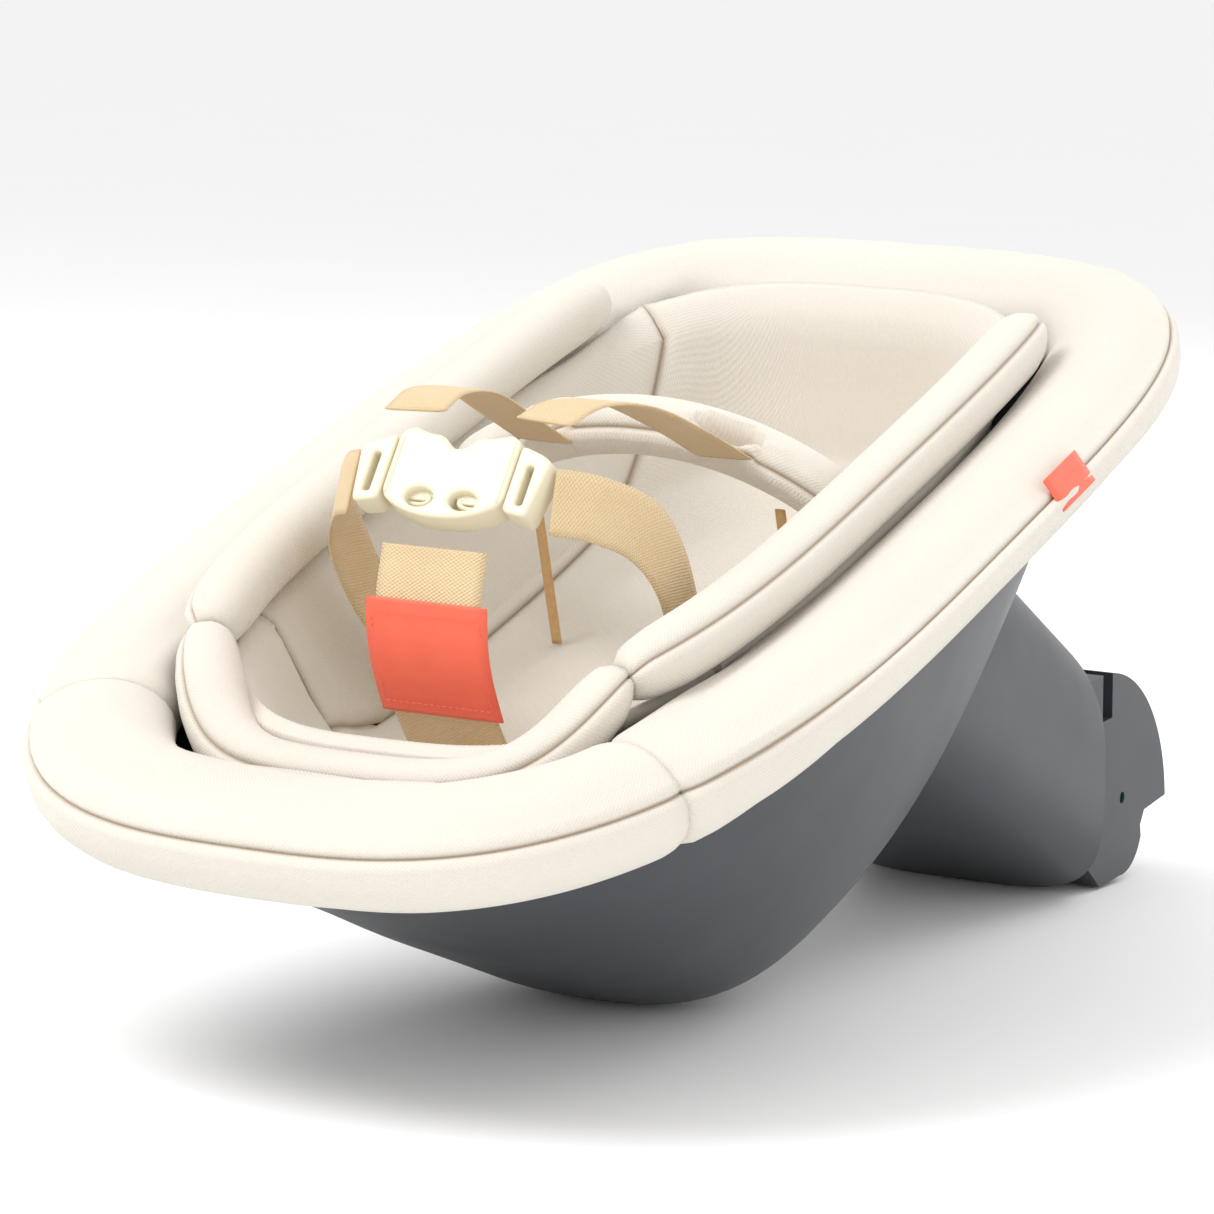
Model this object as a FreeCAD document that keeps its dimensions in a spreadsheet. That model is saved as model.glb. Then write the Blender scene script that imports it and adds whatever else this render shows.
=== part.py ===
import FreeCAD, Part
import math
import os

import Sketcher

# Newborn bouncer seat that clicks onto a high chair. Millimetres, +Z up.
# The seat stands on the bottom of its bowl and on the lower edge of its neck.
# X is across the seat, +Y points to the head end and the coupling, Z = 0 is the floor.
# Seat pieces are drawn in the plane of the rim, coupling pieces square to the neck's end.

DIMENSIONS = [
    ("rim_half_width", 155, "centre line of the padded rim, across"),
    ("rim_half_length", 288, "centre line of the padded rim, along"),
    ("rim_tube_width", 66, "padded rim, section width"),
    ("rim_tube_height", 49, "padded rim, section height"),
    ("rim_frame_diameter", 12, "tube inside the padded rim"),
    ("pad_joint_place", 218, "foot piece of the rim pad ends this far from the middle"),
    ("pad_gap", 0.6, "gap between neighbouring soft pieces"),
    ("seat_tilt", 19.57, "slope of the rim plane, head up, degrees"),
    ("seat_back_shift", 88.3, "middle of the rim behind the origin"),
    ("seat_height", 205.5, "middle of the rim above the floor"),
    ("coupling_tilt", 5, "slope of the neck's end face, degrees"),
    ("coupling_back_shift", 33.5, "coupling frame behind the origin"),
    ("coupling_height", 244, "coupling frame above the floor"),
    ("shell_wall", 3, "wall of the bowl and the neck"),
    ("bowl_depth", 200, "rim plane to the bottom of the bowl"),
    ("neck_end", 297, "end face of the neck"),
    ("neck_width", 160, "neck, across"),
    ("neck_top", -130, "top of the neck at its end"),
    ("neck_bottom", -271, "bottom of the neck at its end"),
    ("bulkhead_thickness", 6, "plate across the end of the neck"),
    ("bulkhead_recess", 6, "plate set back from the end of the neck"),
    ("coupling_width", 134, "coupling body, across"),
    ("coupling_cavity", 114, "hollow in the coupling body, across"),
    ("hook_slot_width", 12, "slot for the bar of the high chair"),
    ("hook_slot_depth", 24, "depth of that slot"),
    ("latch_travel", 12, "stroke of the latch bolt"),
    ("latch_width", 50, "latch bolt, across"),
    ("button_travel", 6, "stroke of the release button"),
    ("button_width", 44, "release button, across"),
    ("window_radius", 3, "lock window in each side of the coupling"),
    ("screw_diameter", 5, "screws through the bulkhead"),
    ("roll_radius", 15.5, "padded rolls beside the seat"),
    ("roll_half_width", 118, "centre lines of the side rolls, across"),
    ("roll_height", 26, "centre lines of the side rolls above the rim plane"),
    ("foot_roll_height", -6, "centre line of the foot roll, below the rim plane at its middle"),
    ("liner_depth", 88, "rim plane to the underside of the liner"),
    ("liner_thickness", 10, "padded liner"),
    ("liner_half_width", 118, "liner at its top edge"),
    ("shoulder_roll_radius", 14.5, "roll across the seat at the shoulders"),
    ("webbing_thickness", 1.6, "harness webbing"),
    ("webbing_width", 28, "shoulder and waist webbing"),
    ("crotch_width", 50, "crotch webbing"),
    ("buckle_body_width", 58, "buckle body, across"),
    ("buckle_height", 40, "buckle body, along the harness"),
    ("buckle_thickness", 14, "buckle body"),
    ("buckle_tilt", 38, "buckle against the rim plane, degrees"),
    ("buckle_back", 125, "buckle from the middle of the rim, to the foot"),
    ("buckle_lift", 80, "buckle above the rim plane"),
    ("prong_travel", 32, "prong pulled out of the buckle body"),
    ("prong_thickness", 6, "prongs inside the buckle"),
]

doc = FreeCAD.newDocument("bouncer_seat")
sheet = doc.addObject("Spreadsheet::Sheet", "dimensions")
for row, (alias, value, note) in enumerate(DIMENSIONS, start=1):
    sheet.set(f"A{row}", note)
    sheet.set(f"B{row}", str(value))
    sheet.setAlias(f"B{row}", alias)
doc.recompute()

LOOP_POINTS = 32
NODES = []


def size(alias):
    return float(sheet.get(alias))


def vector(x, y, z):
    return FreeCAD.Vector(x, y, z)


def about_x(degrees):
    return FreeCAD.Rotation(vector(1, 0, 0), degrees)


SEAT = FreeCAD.Placement(
    vector(0, -size("seat_back_shift"), size("seat_height")), about_x(size("seat_tilt"))
)
NECK = FreeCAD.Placement(
    vector(0, -size("coupling_back_shift"), size("coupling_height")), about_x(size("coupling_tilt"))
)
BULKHEAD_BACK = size("neck_end") - size("bulkhead_recess")
COUPLING_LEVEL = -200
COUPLING = NECK * FreeCAD.Placement(vector(0, BULKHEAD_BACK, COUPLING_LEVEL), about_x(0))
BUCKLE = SEAT * FreeCAD.Placement(
    vector(0, -size("buckle_back"), size("buckle_lift")), about_x(size("buckle_tilt"))
)


def keep(node, label):
    """Name a sub-part and put it on the list that is written out."""
    node.Label = label
    NODES.append(node)
    return node


def feature(label, shape, placement):
    """A sub-part whose shape is made with Part's functions in its own frame."""
    node = doc.addObject("Part::Feature", label)
    node.Shape = shape
    node.Placement = placement * shape.Placement
    return keep(node, label)


# ---------------------------------------------------------------- curves and solids


def signed_power(value, power):
    return math.copysign(abs(value) ** power, value)


def oval_points(half_x, head_y, foot_y, height, head_power, foot_power):
    """Points of a rounded oval in the rim plane, squarer as the power rises."""
    points = []
    for index in range(LOOP_POINTS):
        angle = 2 * math.pi * index / LOOP_POINTS
        along = math.sin(angle)
        power = head_power if along > 0 else foot_power
        reach = head_y if along > 0 else foot_y
        x = half_x * signed_power(math.cos(angle), 2 / power)
        y = reach * signed_power(along, 2 / power)
        points.append(vector(x, y, height))
    return points


def closed_wire(points):
    curve = Part.BSplineCurve()
    curve.interpolate(Points=points, PeriodicFlag=True)
    return Part.Wire([curve.toShape()])


def oval_wire(half_x, head_y, foot_y, height, head_power=4.2, foot_power=3.0):
    return closed_wire(oval_points(half_x, head_y, foot_y, height, head_power, foot_power))


def level_wire(level, grow):
    """One level of a bowl: (height, half width, foot end, head end), grown outwards."""
    height, half_x, foot_y, head_y = level
    middle = (head_y + foot_y) / 2
    reach = (head_y - foot_y) / 2 + grow
    wire = oval_wire(half_x + grow, reach, reach, height, 2.7, 2.7)
    wire.translate(vector(0, middle, 0))
    return wire


def bowl(levels, grow, drop=0):
    """Solid through the levels; drop moves only its lower levels down."""
    wires = []
    for level in levels:
        wire = level_wire(level, grow)
        if level[0] < levels[0][0]:
            wire.translate(vector(0, 0, drop))
        wires.append(wire)
    return Part.makeLoft(wires, True, False)


def ring(path_wire, section_radius_x, section_radius_z, start):
    """Elliptical section swept round a closed path that starts on the +X axis."""
    ellipse = Part.Ellipse(start, max(section_radius_x, section_radius_z),
                           min(section_radius_x, section_radius_z))
    edge = ellipse.toShape()
    edge.rotate(start, vector(1, 0, 0), 90)
    if section_radius_z > section_radius_x:
        edge.rotate(start, vector(0, 1, 0), 90)
    return path_wire.makePipeShell([Part.Wire([edge])], True, False)


def slab_between(low_y, high_y):
    """Large box that keeps what lies between two places along Y."""
    reach = 500
    box = Part.makeBox(2 * reach, high_y - low_y, 2 * reach)
    box.translate(vector(-reach, low_y, -reach))
    return box


def slice_across(low_x, high_x):
    """Large box that keeps what lies between two places along X."""
    reach = 500
    box = Part.makeBox(high_x - low_x, 2 * reach, 2 * reach)
    box.translate(vector(low_x, -reach, -reach))
    return box


def ribbon(route, width, thickness):
    """Webbing through (place, width direction) pairs, flat section normal to its run."""
    wires = []
    for index, (place, across) in enumerate(route):
        before = route[max(index - 1, 0)][0]
        after = route[min(index + 1, len(route) - 1)][0]
        run = (after - before).normalize()
        side = (across - run * across.dot(run)).normalize()
        face = run.cross(side)
        corners = []
        for along_side, along_face in ((-1, -1), (1, -1), (1, 1), (-1, 1)):
            offset = side * (along_side * width / 2) + face * (along_face * thickness / 2)
            corners.append(place + offset)
        wires.append(Part.makePolygon(corners + corners[:1]))
    return Part.makeLoft(wires, True, False)


# ---------------------------------------------------------------- bowl, rim and neck

# Levels of the bowl below the rim plane: height, half width, foot end, head end.
BOWL_LEVELS = [
    (-8, 152, -285, 285),
    (-32, 149, -271, 276),
    (-70, 138, -226, 238),
    (-115, 120, -172, 186),
    (-160, 95, -116, 126),
    (-188, 68, -80, 64),
    (-size("bowl_depth"), 40, -52, 22),
]
SHELL_SLOTS_PLACE = 55


def bowl_outside():
    return bowl(BOWL_LEVELS, 0)


def raised_rim(levels, lift):
    """The same levels with the top one lifted, so that a cut runs past the edge."""
    height, *plan = levels[0]
    return [(height + lift, *plan), *levels[1:]]


def shell_room():
    """Space that the soft pieces leave for the shell's wall, a little wider on both sides."""
    gap = size("pad_gap") / 2
    wall = size("shell_wall")
    outside = bowl(raised_rim(BOWL_LEVELS, gap), gap, -gap)
    return outside.cut(bowl(raised_rim(BOWL_LEVELS, 2 * gap), -wall - gap, wall + gap))


def seat_shell():
    """Bowl with an open top and two slots through which the harness is anchored."""
    wall = size("shell_wall")
    inside = bowl(raised_rim(BOWL_LEVELS, 1), -wall, wall)
    shape = bowl_outside().cut(inside)
    for side in (-1, 1):
        slot = Part.makeBox(6, 34, 60)
        slot.translate(vector(side * SHELL_SLOTS_PLACE - 3, -60, -230))
        shape = shape.cut(slot)
    feature("seat_shell", shape, SEAT)


def rim_path(height=0):
    reach = size("rim_half_length")
    return oval_wire(size("rim_half_width"), reach, reach, height)


def rim_start():
    return vector(size("rim_half_width"), 0, 0)


def rim_frame():
    """Round tube that stiffens the rim and rests just above the shell's top edge."""
    radius = size("rim_frame_diameter") / 2
    feature("rim_frame", ring(rim_path(), radius, radius, rim_start()), SEAT)


def rim_pads():
    """Padded rim in two pieces, with room inside for the rim frame and the shell's edge."""
    half_width = size("rim_tube_width") / 2
    half_height = size("rim_tube_height") / 2
    bore = size("rim_frame_diameter") / 2 + size("pad_gap") / 2
    tube = ring(rim_path(), half_width, half_height, rim_start())
    hollow = ring(rim_path(), bore, bore, rim_start())
    room = shell_room()
    joint = -size("pad_joint_place")
    gap = size("pad_gap") / 2
    far = 400
    for name, low_y, high_y in (
        ("rim_pad_foot", -far, joint - gap),
        ("rim_pad_body", joint + gap, far),
    ):
        piece = tube.common(slab_between(low_y, high_y))
        feature(name, piece.cut(hollow).cut(room), SEAT)


def neck_section(place, half_x, top, bottom, grow):
    """Upright section of the neck: rounded above, squarer below."""
    middle = (top + bottom) / 2
    points = []
    for index in range(LOOP_POINTS):
        angle = 2 * math.pi * index / LOOP_POINTS
        upward = math.sin(angle)
        power = 2.4 if upward > 0 else 4.5
        x = (half_x + grow) * signed_power(math.cos(angle), 2 / power)
        z = ((top - bottom) / 2 + grow) * signed_power(upward, 2 / power)
        points.append(vector(x, place, middle + z))
    return closed_wire(points)


NECK_ROOT = 60
NECK_ROOT_HALF_WIDTH = 90
NECK_ROOT_TOP = 18
NECK_ROOT_BOTTOM = -150


def neck_solid(grow, overrun):
    """Neck from inside the bowl to its end face; overrun lengthens both ends in line."""
    end = size("neck_end")
    half = size("neck_width") / 2
    wires = []
    for place in (NECK_ROOT - overrun, end + overrun):
        share = (place - NECK_ROOT) / (end - NECK_ROOT)
        half_x = NECK_ROOT_HALF_WIDTH + share * (half - NECK_ROOT_HALF_WIDTH)
        top = NECK_ROOT_TOP + share * (size("neck_top") - NECK_ROOT_TOP)
        bottom = NECK_ROOT_BOTTOM + share * (size("neck_bottom") - NECK_ROOT_BOTTOM)
        wires.append(neck_section(place, half_x, top, bottom, grow))
    return Part.makeLoft(wires, True, False)


def neck_housing():
    """Hollow neck that grows out of the back of the bowl."""
    shape = neck_solid(0, 0).cut(neck_solid(-size("shell_wall"), 5))
    outside = bowl_outside()
    outside.Placement = NECK.inverse() * SEAT
    # The cut leaves the neck and a loose sliver above the bowl; only the neck is kept.
    pieces = shape.cut(outside).Solids
    feature("neck_housing", max(pieces, key=lambda piece: piece.Volume), NECK)


SCREW_PLACES = [(x, z) for x in (-62, 62) for z in (-40, 20)]


def bulkhead():
    """Plate across the end of the neck that carries the coupling."""
    fit = 0.05
    thickness = size("bulkhead_thickness")
    plate = neck_solid(-size("shell_wall") - fit, 5)
    plate = plate.common(slab_between(BULKHEAD_BACK - thickness, BULKHEAD_BACK))
    radius = size("screw_diameter") / 2
    for x, z in SCREW_PLACES:
        start = vector(x, BULKHEAD_BACK - 2 * thickness, COUPLING_LEVEL + z)
        plate = plate.cut(Part.makeCylinder(radius + 0.1, 3 * thickness, start, vector(0, 1, 0)))
    feature("neck_bulkhead", plate, NECK)


# ---------------------------------------------------------------- PartDesign helpers


def new_body(label, placement):
    body = doc.addObject("PartDesign::Body", label)
    body.Placement = placement
    return keep(body, label)


def plane_of(body, role):
    for origin_feature in body.Origin.OriginFeatures:
        if origin_feature.Role == role:
            return origin_feature
    raise ValueError(role)


def new_sketch(body, name, role, offset=0):
    sketch = body.newObject("Sketcher::SketchObject", name)
    sketch.AttachmentSupport = [(plane_of(body, role), "")]
    sketch.MapMode = "FlatFace"
    sketch.AttachmentOffset = FreeCAD.Placement(vector(0, 0, offset), FreeCAD.Rotation())
    return sketch


def outline(sketch, corners):
    """Closed outline; a corner given as a pair of points is an arc through the first."""
    ends = [corner[-1] if isinstance(corner, list) else corner for corner in corners]
    for index, corner in enumerate(corners):
        start = vector(*ends[index - 1], 0)
        if isinstance(corner, list):
            through = vector(*corner[0], 0)
            sketch.addGeometry(Part.Arc(start, through, vector(*corner[1], 0)), False)
        else:
            sketch.addGeometry(Part.LineSegment(start, vector(*corner, 0)), False)


def rectangle(sketch, left, right, low, high):
    outline(sketch, [(left, low), (right, low), (right, high), (left, high)])


def pad(body, name, sketch, alias):
    result = body.newObject("PartDesign::Pad", name)
    result.Profile = sketch
    result.Midplane = True
    result.setExpression("Length", f"{sheet.Name}.{alias}")
    return result


def pocket(body, name, sketch, width):
    """Pocket on both sides of its sketch, width a cell's alias or a plain expression."""
    result = body.newObject("PartDesign::Pocket", name)
    result.Profile = sketch
    result.Midplane = True
    result.setExpression("Length", width)
    return result


# ---------------------------------------------------------------- coupling

# Side view of the coupling body, (along Y from the bulkhead, height).
# The hook slot is open at the top and takes the bar of the high chair.
SLOT_FRONT = 32
SLOT_FLOOR = 12


def coupling_outline():
    slot_back = SLOT_FRONT + size("hook_slot_width")
    top = SLOT_FLOOR + size("hook_slot_depth")
    return [
        (0, top),
        (SLOT_FRONT, top),
        (SLOT_FRONT, SLOT_FLOOR),
        (slot_back, SLOT_FLOOR),
        (slot_back, top - 1),
        [(92, 9), (114, -43)],
        (87, -45),
        (82, -52),
        (83, -58),
        [(72, -70), (57, -73)],
        (31, -73),
        (9, -55),
        (0, -50),
    ]


def coupling_body():
    body = new_body("coupling_body", COUPLING)
    side = new_sketch(body, "coupling_side", "YZ_Plane")
    outline(side, coupling_outline())
    pad(body, "coupling_pad", side, "coupling_width")

    wall = 4
    cavity = new_sketch(body, "cavity_side", "YZ_Plane")
    slot_back = SLOT_FRONT + size("hook_slot_width")
    top = SLOT_FLOOR + size("hook_slot_depth")
    outline(cavity, [
        (-1, top - wall),
        (SLOT_FRONT - wall, top - wall),
        (SLOT_FRONT - wall, SLOT_FLOOR - wall),
        (slot_back + wall, SLOT_FLOOR - wall),
        (76, -4),
        (78, -56),
        (58, -69),
        (32, -69),
        (12, -51),
        (-1, -45),
    ])
    pocket(body, "cavity", cavity, f"{sheet.Name}.coupling_cavity")

    nose = new_sketch(body, "nose_opening_side", "YZ_Plane")
    rectangle(nose, SLOT_FRONT - wall - 1, SLOT_FRONT + 1, 17.5, 28.5)
    pocket(body, "nose_opening", nose, f"{sheet.Name}.latch_width + 1")

    opening = new_sketch(body, "button_opening_side", "YZ_Plane")
    rectangle(opening, 6.5, 21.5, -75, -40)
    pocket(body, "button_opening", opening, f"{sheet.Name}.button_width + 1")

    groove = new_sketch(body, "indicator_groove_side", "YZ_Plane")
    rectangle(groove, 38, 70, -39, -26)
    pocket(body, "indicator_groove", groove, f"{sheet.Name}.coupling_width - 3")

    window = new_sketch(body, "window_side", "YZ_Plane")
    window.addGeometry(Part.Circle(vector(58, -32.5, 0), vector(0, 0, 1), 3), False)
    window.addConstraint(Sketcher.Constraint("Radius", 0, 3))
    window.setExpression("Constraints[0]", f"{sheet.Name}.window_radius")
    pocket(body, "window", window, f"{sheet.Name}.coupling_width + 10")

    holes = new_sketch(body, "screw_hole_places", "XZ_Plane")
    for index, (x, z) in enumerate(SCREW_PLACES):
        holes.addGeometry(Part.Circle(vector(x, z, 0), vector(0, 0, 1), 2.5), False)
        holes.addConstraint(Sketcher.Constraint("Diameter", index, 5))
        holes.setExpression(f"Constraints[{index}]", f"{sheet.Name}.screw_diameter")
    pocket(body, "screw_holes", holes, "2 * 20")


BOLT_BACK = 14
BOLT_LEVEL = 18
BOLT_LENGTH = 27
BOLT_HEIGHT = 10


def latch_bolt():
    """Sliding bolt whose nose closes the hook slot."""
    bolt = doc.addObject("Part::Box", "latch_bolt")
    bolt.setExpression("Length", f"{sheet.Name}.latch_width")
    bolt.Width = BOLT_LENGTH
    bolt.Height = BOLT_HEIGHT
    shift = vector(-size("latch_width") / 2, BOLT_BACK, BOLT_LEVEL)
    bolt.Placement = COUPLING * FreeCAD.Placement(shift, about_x(0))
    keep(bolt, "latch_bolt")


def box(low, high):
    shape = Part.makeBox(high[0] - low[0], high[1] - low[1], high[2] - low[2])
    shape.translate(vector(*low))
    return shape


FLAG_FRONT = 15
FLAG_BACK = 66
FLAG_TOP = 17.9
FLAG_BASE = -37
FLAG_THICKNESS = 9
FLAG_FACE_FRONT = 51
ARM_DEPTH = 10
ARM_INNER = 44
ARM_OUTER = 55
FLAG_OUTER_FACE = 64.7


def lock_indicator():
    """Green flag under the bolt, with an arm to the window on each side."""
    arm_back = FLAG_FRONT + ARM_DEPTH
    flag_level = FLAG_BASE + FLAG_THICKNESS
    shape = box((-50, FLAG_FRONT, 12), (50, arm_back, FLAG_TOP))
    for side in (-1, 1):
        near, far = sorted((side * ARM_INNER, side * ARM_OUTER))
        shape = shape.fuse(box((near, FLAG_FRONT, FLAG_BASE), (far, arm_back, FLAG_TOP)))
        shape = shape.fuse(box((near, FLAG_FRONT, FLAG_BASE), (far, FLAG_BACK, flag_level)))
        inner, outer = sorted((side * ARM_OUTER, side * FLAG_OUTER_FACE))
        shape = shape.fuse(box((inner, FLAG_FACE_FRONT, FLAG_BASE), (outer, FLAG_BACK, flag_level)))
    feature("lock_indicator", shape.removeSplitter(), COUPLING)


def release_button():
    """Push button in the underside of the coupling, with a stem up to the bolt."""
    body = new_body("release_button", COUPLING)
    side = new_sketch(body, "button_side", "YZ_Plane")
    outline(side, [(7, -66), (21, -66), (21, -40), (18, -36), (18, 1), (10, 5), (10, -36), (7, -40)])
    pad(body, "button_pad", side, "button_width")


SCREW_GRIP = 16
SCREW_HEAD_HEIGHT = 3


def coupling_screws():
    """Four screws from inside the neck through the bulkhead into the coupling."""
    radius = size("screw_diameter") / 2 - 0.05
    thickness = size("bulkhead_thickness")
    screws = []
    for x, z in SCREW_PLACES:
        shank = Part.makeCylinder(radius, thickness + SCREW_GRIP, vector(x, -thickness, z), vector(0, 1, 0))
        head_start = vector(x, -thickness - SCREW_HEAD_HEIGHT, z)
        head = Part.makeCylinder(1.8 * radius, SCREW_HEAD_HEIGHT, head_start, vector(0, 1, 0))
        screws.append(shank.fuse(head).removeSplitter())
    feature("coupling_screws", Part.makeCompound(screws), COUPLING)


# ---------------------------------------------------------------- padded pieces

ROLL_HEAD_POWER = 4
ROLL_FOOT_POWER = 3
HEAD_ROLL_REACH = 300
FOOT_ROLL_REACH = 233
ROLL_CLIMB_START = -233
ROLL_CLIMB_END = -165

# Sections of a roll: place along Y (side rolls) or angle in degrees (foot roll),
# then the share of the full radius, smaller where the roll tapers to its tip.
SIDE_ROLL_SECTIONS = [
    (-173, 0.8), (-160, 1), (-125, 1), (-80, 1), (-20, 1),
    (50, 1), (110, 1), (155, 1), (182, 0.9), (198, 0.6),
]
FOOT_ROLL_SECTIONS = [
    (41.1, 0.8), (47, 1), (58, 1), (73, 1), (90, 1), (107, 1), (122, 1), (133, 1), (138.9, 0.8),
]


def roll_height(y):
    """The rolls lie low at the foot and climb to the side rolls."""
    share = (y - ROLL_CLIMB_START) / (ROLL_CLIMB_END - ROLL_CLIMB_START)
    share = min(max(share, 0), 1)
    low = size("foot_roll_height")
    return low + (size("roll_height") - low) * share * share * (3 - 2 * share)


def roll_section(x, y, share):
    """Round upright section, square to the oval that the rolls follow."""
    half = size("roll_half_width")
    power = ROLL_HEAD_POWER if y > 0 else ROLL_FOOT_POWER
    reach = HEAD_ROLL_REACH if y > 0 else FOOT_ROLL_REACH
    outward = vector(
        signed_power(x / half, power - 1) / half, signed_power(y / reach, power - 1) / reach, 0
    ).normalize()
    centre = vector(x, y, roll_height(y))
    radius = share * size("roll_radius")
    points = []
    for index in range(12):
        angle = 2 * math.pi * index / 12
        upward = vector(0, 0, radius * math.sin(angle))
        points.append(centre + outward * (radius * math.cos(angle)) + upward)
    return closed_wire(points)


def side_roll(side):
    wires = []
    for y, share in SIDE_ROLL_SECTIONS:
        power = ROLL_HEAD_POWER if y > 0 else ROLL_FOOT_POWER
        reach = HEAD_ROLL_REACH if y > 0 else FOOT_ROLL_REACH
        x = size("roll_half_width") * (1 - (abs(y) / reach) ** power) ** (1 / power)
        wires.append(roll_section(side * x, y, share))
    return Part.makeLoft(wires, True, False)


def foot_roll():
    wires = []
    for degrees, share in FOOT_ROLL_SECTIONS:
        angle = math.radians(degrees)
        power = 2 / ROLL_FOOT_POWER
        x = size("roll_half_width") * signed_power(math.cos(angle), power)
        y = -FOOT_ROLL_REACH * math.sin(angle) ** power
        wires.append(roll_section(x, y, share))
    return Part.makeLoft(wires, True, False)


def rolls():
    """Three padded rolls that line the seat and lie against the rim pad."""
    gap = size("pad_gap")
    half_width = size("rim_tube_width") / 2 + gap
    half_height = size("rim_tube_height") / 2 + gap
    rim = ring(rim_path(), half_width, half_height, rim_start())
    feature("roll_left", side_roll(-1).cut(rim), SEAT)
    feature("roll_right", side_roll(1).cut(rim), SEAT)
    feature("roll_foot", foot_roll().cut(rim), SEAT)


VALLEY_PLACE = 84
LINER_FOOT_JOINT = -120
LINER_TOP = -5.5


def liner():
    """Padded liner slung inside the bowl, in four panels that meet at the corners."""
    half = size("liner_half_width")
    depth = size("liner_depth")
    wall = size("liner_thickness")
    levels = [
        (LINER_TOP, half, -211, 248),
        (-40, half - 8, -200, 240),
        (-70, half - 19, -172, 226),
        (-depth, half - 40, -125, 190),
    ]
    inside = raised_rim(levels, 1)
    cup = bowl(levels, 0).cut(bowl(inside, -wall, wall))
    gap = size("pad_gap") / 2
    foot = cup.common(slab_between(-400, LINER_FOOT_JOINT - gap))
    rest = cup.common(slab_between(LINER_FOOT_JOINT + gap, 400))
    feature("liner_foot", foot, SEAT)
    feature("liner_seat", rest.common(slice_across(-VALLEY_PLACE, VALLEY_PLACE)), SEAT)
    feature("liner_left", rest.common(slice_across(-300, -VALLEY_PLACE - gap)), SEAT)
    feature("liner_right", rest.common(slice_across(VALLEY_PLACE + gap, 300)), SEAT)


ARCH_HALF_WIDTH = 91
ARCH_PLACE = 36
ARCH_END_HEIGHT = 8
ARCH_CROWN_HEIGHT = 38
STRAP_SLOT = (45, 24, 34)
STRAP_SLOT_LOW = (-17, -20, -2)
STRAP_SLOT_HIGH = (17, 12, 2)
STRAP_SLOT_TILT = -20


def shoulder_roll():
    """Roll across the seat at the shoulders, arched over the seat, with two strap slots."""
    radius = size("shoulder_roll_radius")
    left = vector(-ARCH_HALF_WIDTH, ARCH_PLACE, ARCH_END_HEIGHT)
    crown = vector(0, ARCH_PLACE, ARCH_CROWN_HEIGHT)
    right = vector(ARCH_HALF_WIDTH, ARCH_PLACE, ARCH_END_HEIGHT)
    arc = Part.Wire([Part.Arc(left, crown, right).toShape()])
    run = arc.Edges[0].tangentAt(arc.Edges[0].FirstParameter)
    section = Part.Wire([Part.makeCircle(radius, left, run)])
    shape = arc.makePipeShell([section], True, False)
    for side in (-1, 1):
        slot = box(STRAP_SLOT_LOW, STRAP_SLOT_HIGH)
        slot.rotate(vector(0, 0, 0), vector(1, 0, 0), STRAP_SLOT_TILT)
        slot.translate(vector(side * STRAP_SLOT[0], STRAP_SLOT[1], STRAP_SLOT[2]))
        shape = shape.cut(slot)
    feature("shoulder_roll", shape, SEAT)


ELASTIC_PLACE = 62
ELASTIC_FOOT = -77
ELASTIC_LENGTH = 80
ELASTIC_RADIUS = 2


def elastic_loops():
    """Two short elastic loops that tie the shoulder roll down to the liner."""
    loops = []
    for side in (-1, 1):
        foot = vector(side * ELASTIC_PLACE, ARCH_PLACE, ELASTIC_FOOT)
        loops.append(Part.makeCylinder(ELASTIC_RADIUS, ELASTIC_LENGTH, foot, vector(0, 0, 1)))
    feature("elastic_loops", Part.makeCompound(loops), SEAT)


# ---------------------------------------------------------------- harness


def across_seat(x, y, z):
    return (vector(x, y, z), vector(1, 0, 0))


def crotch_strap():
    """Broad strap that rises from the liner to the buckle."""
    route = [
        across_seat(0, -134, -69),
        across_seat(0, -150, -30),
        across_seat(0, -160, 5),
        across_seat(0, -158, 38),
        across_seat(0, -146, 61),
    ]
    feature("crotch_strap", ribbon(route, size("crotch_width"), size("webbing_thickness")), SEAT)


LABEL_WIDTH = 58
LABEL_THICKNESS = 1.2
LABEL_LIFT = 1.6


def crotch_label():
    """Stitched label on the front of the crotch strap."""
    route = [
        across_seat(0, -157 - LABEL_LIFT, -10),
        across_seat(0, -160.5 - LABEL_LIFT, 10),
        across_seat(0, -160.5 - LABEL_LIFT, 26),
        across_seat(0, -157 - LABEL_LIFT, 42),
    ]
    feature("crotch_label", ribbon(route, LABEL_WIDTH, LABEL_THICKNESS), SEAT)


def shoulder_straps():
    for side, name in ((-1, "shoulder_strap_left"), (1, "shoulder_strap_right")):
        route = [
            across_seat(side * 45, 18, 38),
            across_seat(side * 43, -9, 59),
            across_seat(side * 38, -42, 84),
            across_seat(side * 34, -74, 98),
            across_seat(side * 31, -98, 100),
        ]
        shape = ribbon(route, size("webbing_width"), size("webbing_thickness"))
        feature(name, shape, SEAT)


def waist_straps():
    """Straps from the prongs down to the liner above the shell's anchor slots."""
    for side, name in ((-1, "waist_strap_left"), (1, "waist_strap_right")):
        edge = vector(0, 0.62, 0.78)
        route = [
            (vector(side * 48, -127, 78), edge),
            (vector(side * 62, -115, 70), edge),
            (vector(side * 74, -102, 56), edge),
            (vector(side * 79, -93, 34), vector(0, 0.85, 0.5)),
            (vector(side * 77, -84, 4), vector(0, 1, 0.2)),
            (vector(side * 69, -68, -34), vector(0, 1, 0)),
            (vector(side * 60, -50, -71), vector(0, 1, 0)),
        ]
        shape = ribbon(route, size("webbing_width"), size("webbing_thickness"))
        feature(name, shape, SEAT)


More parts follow.
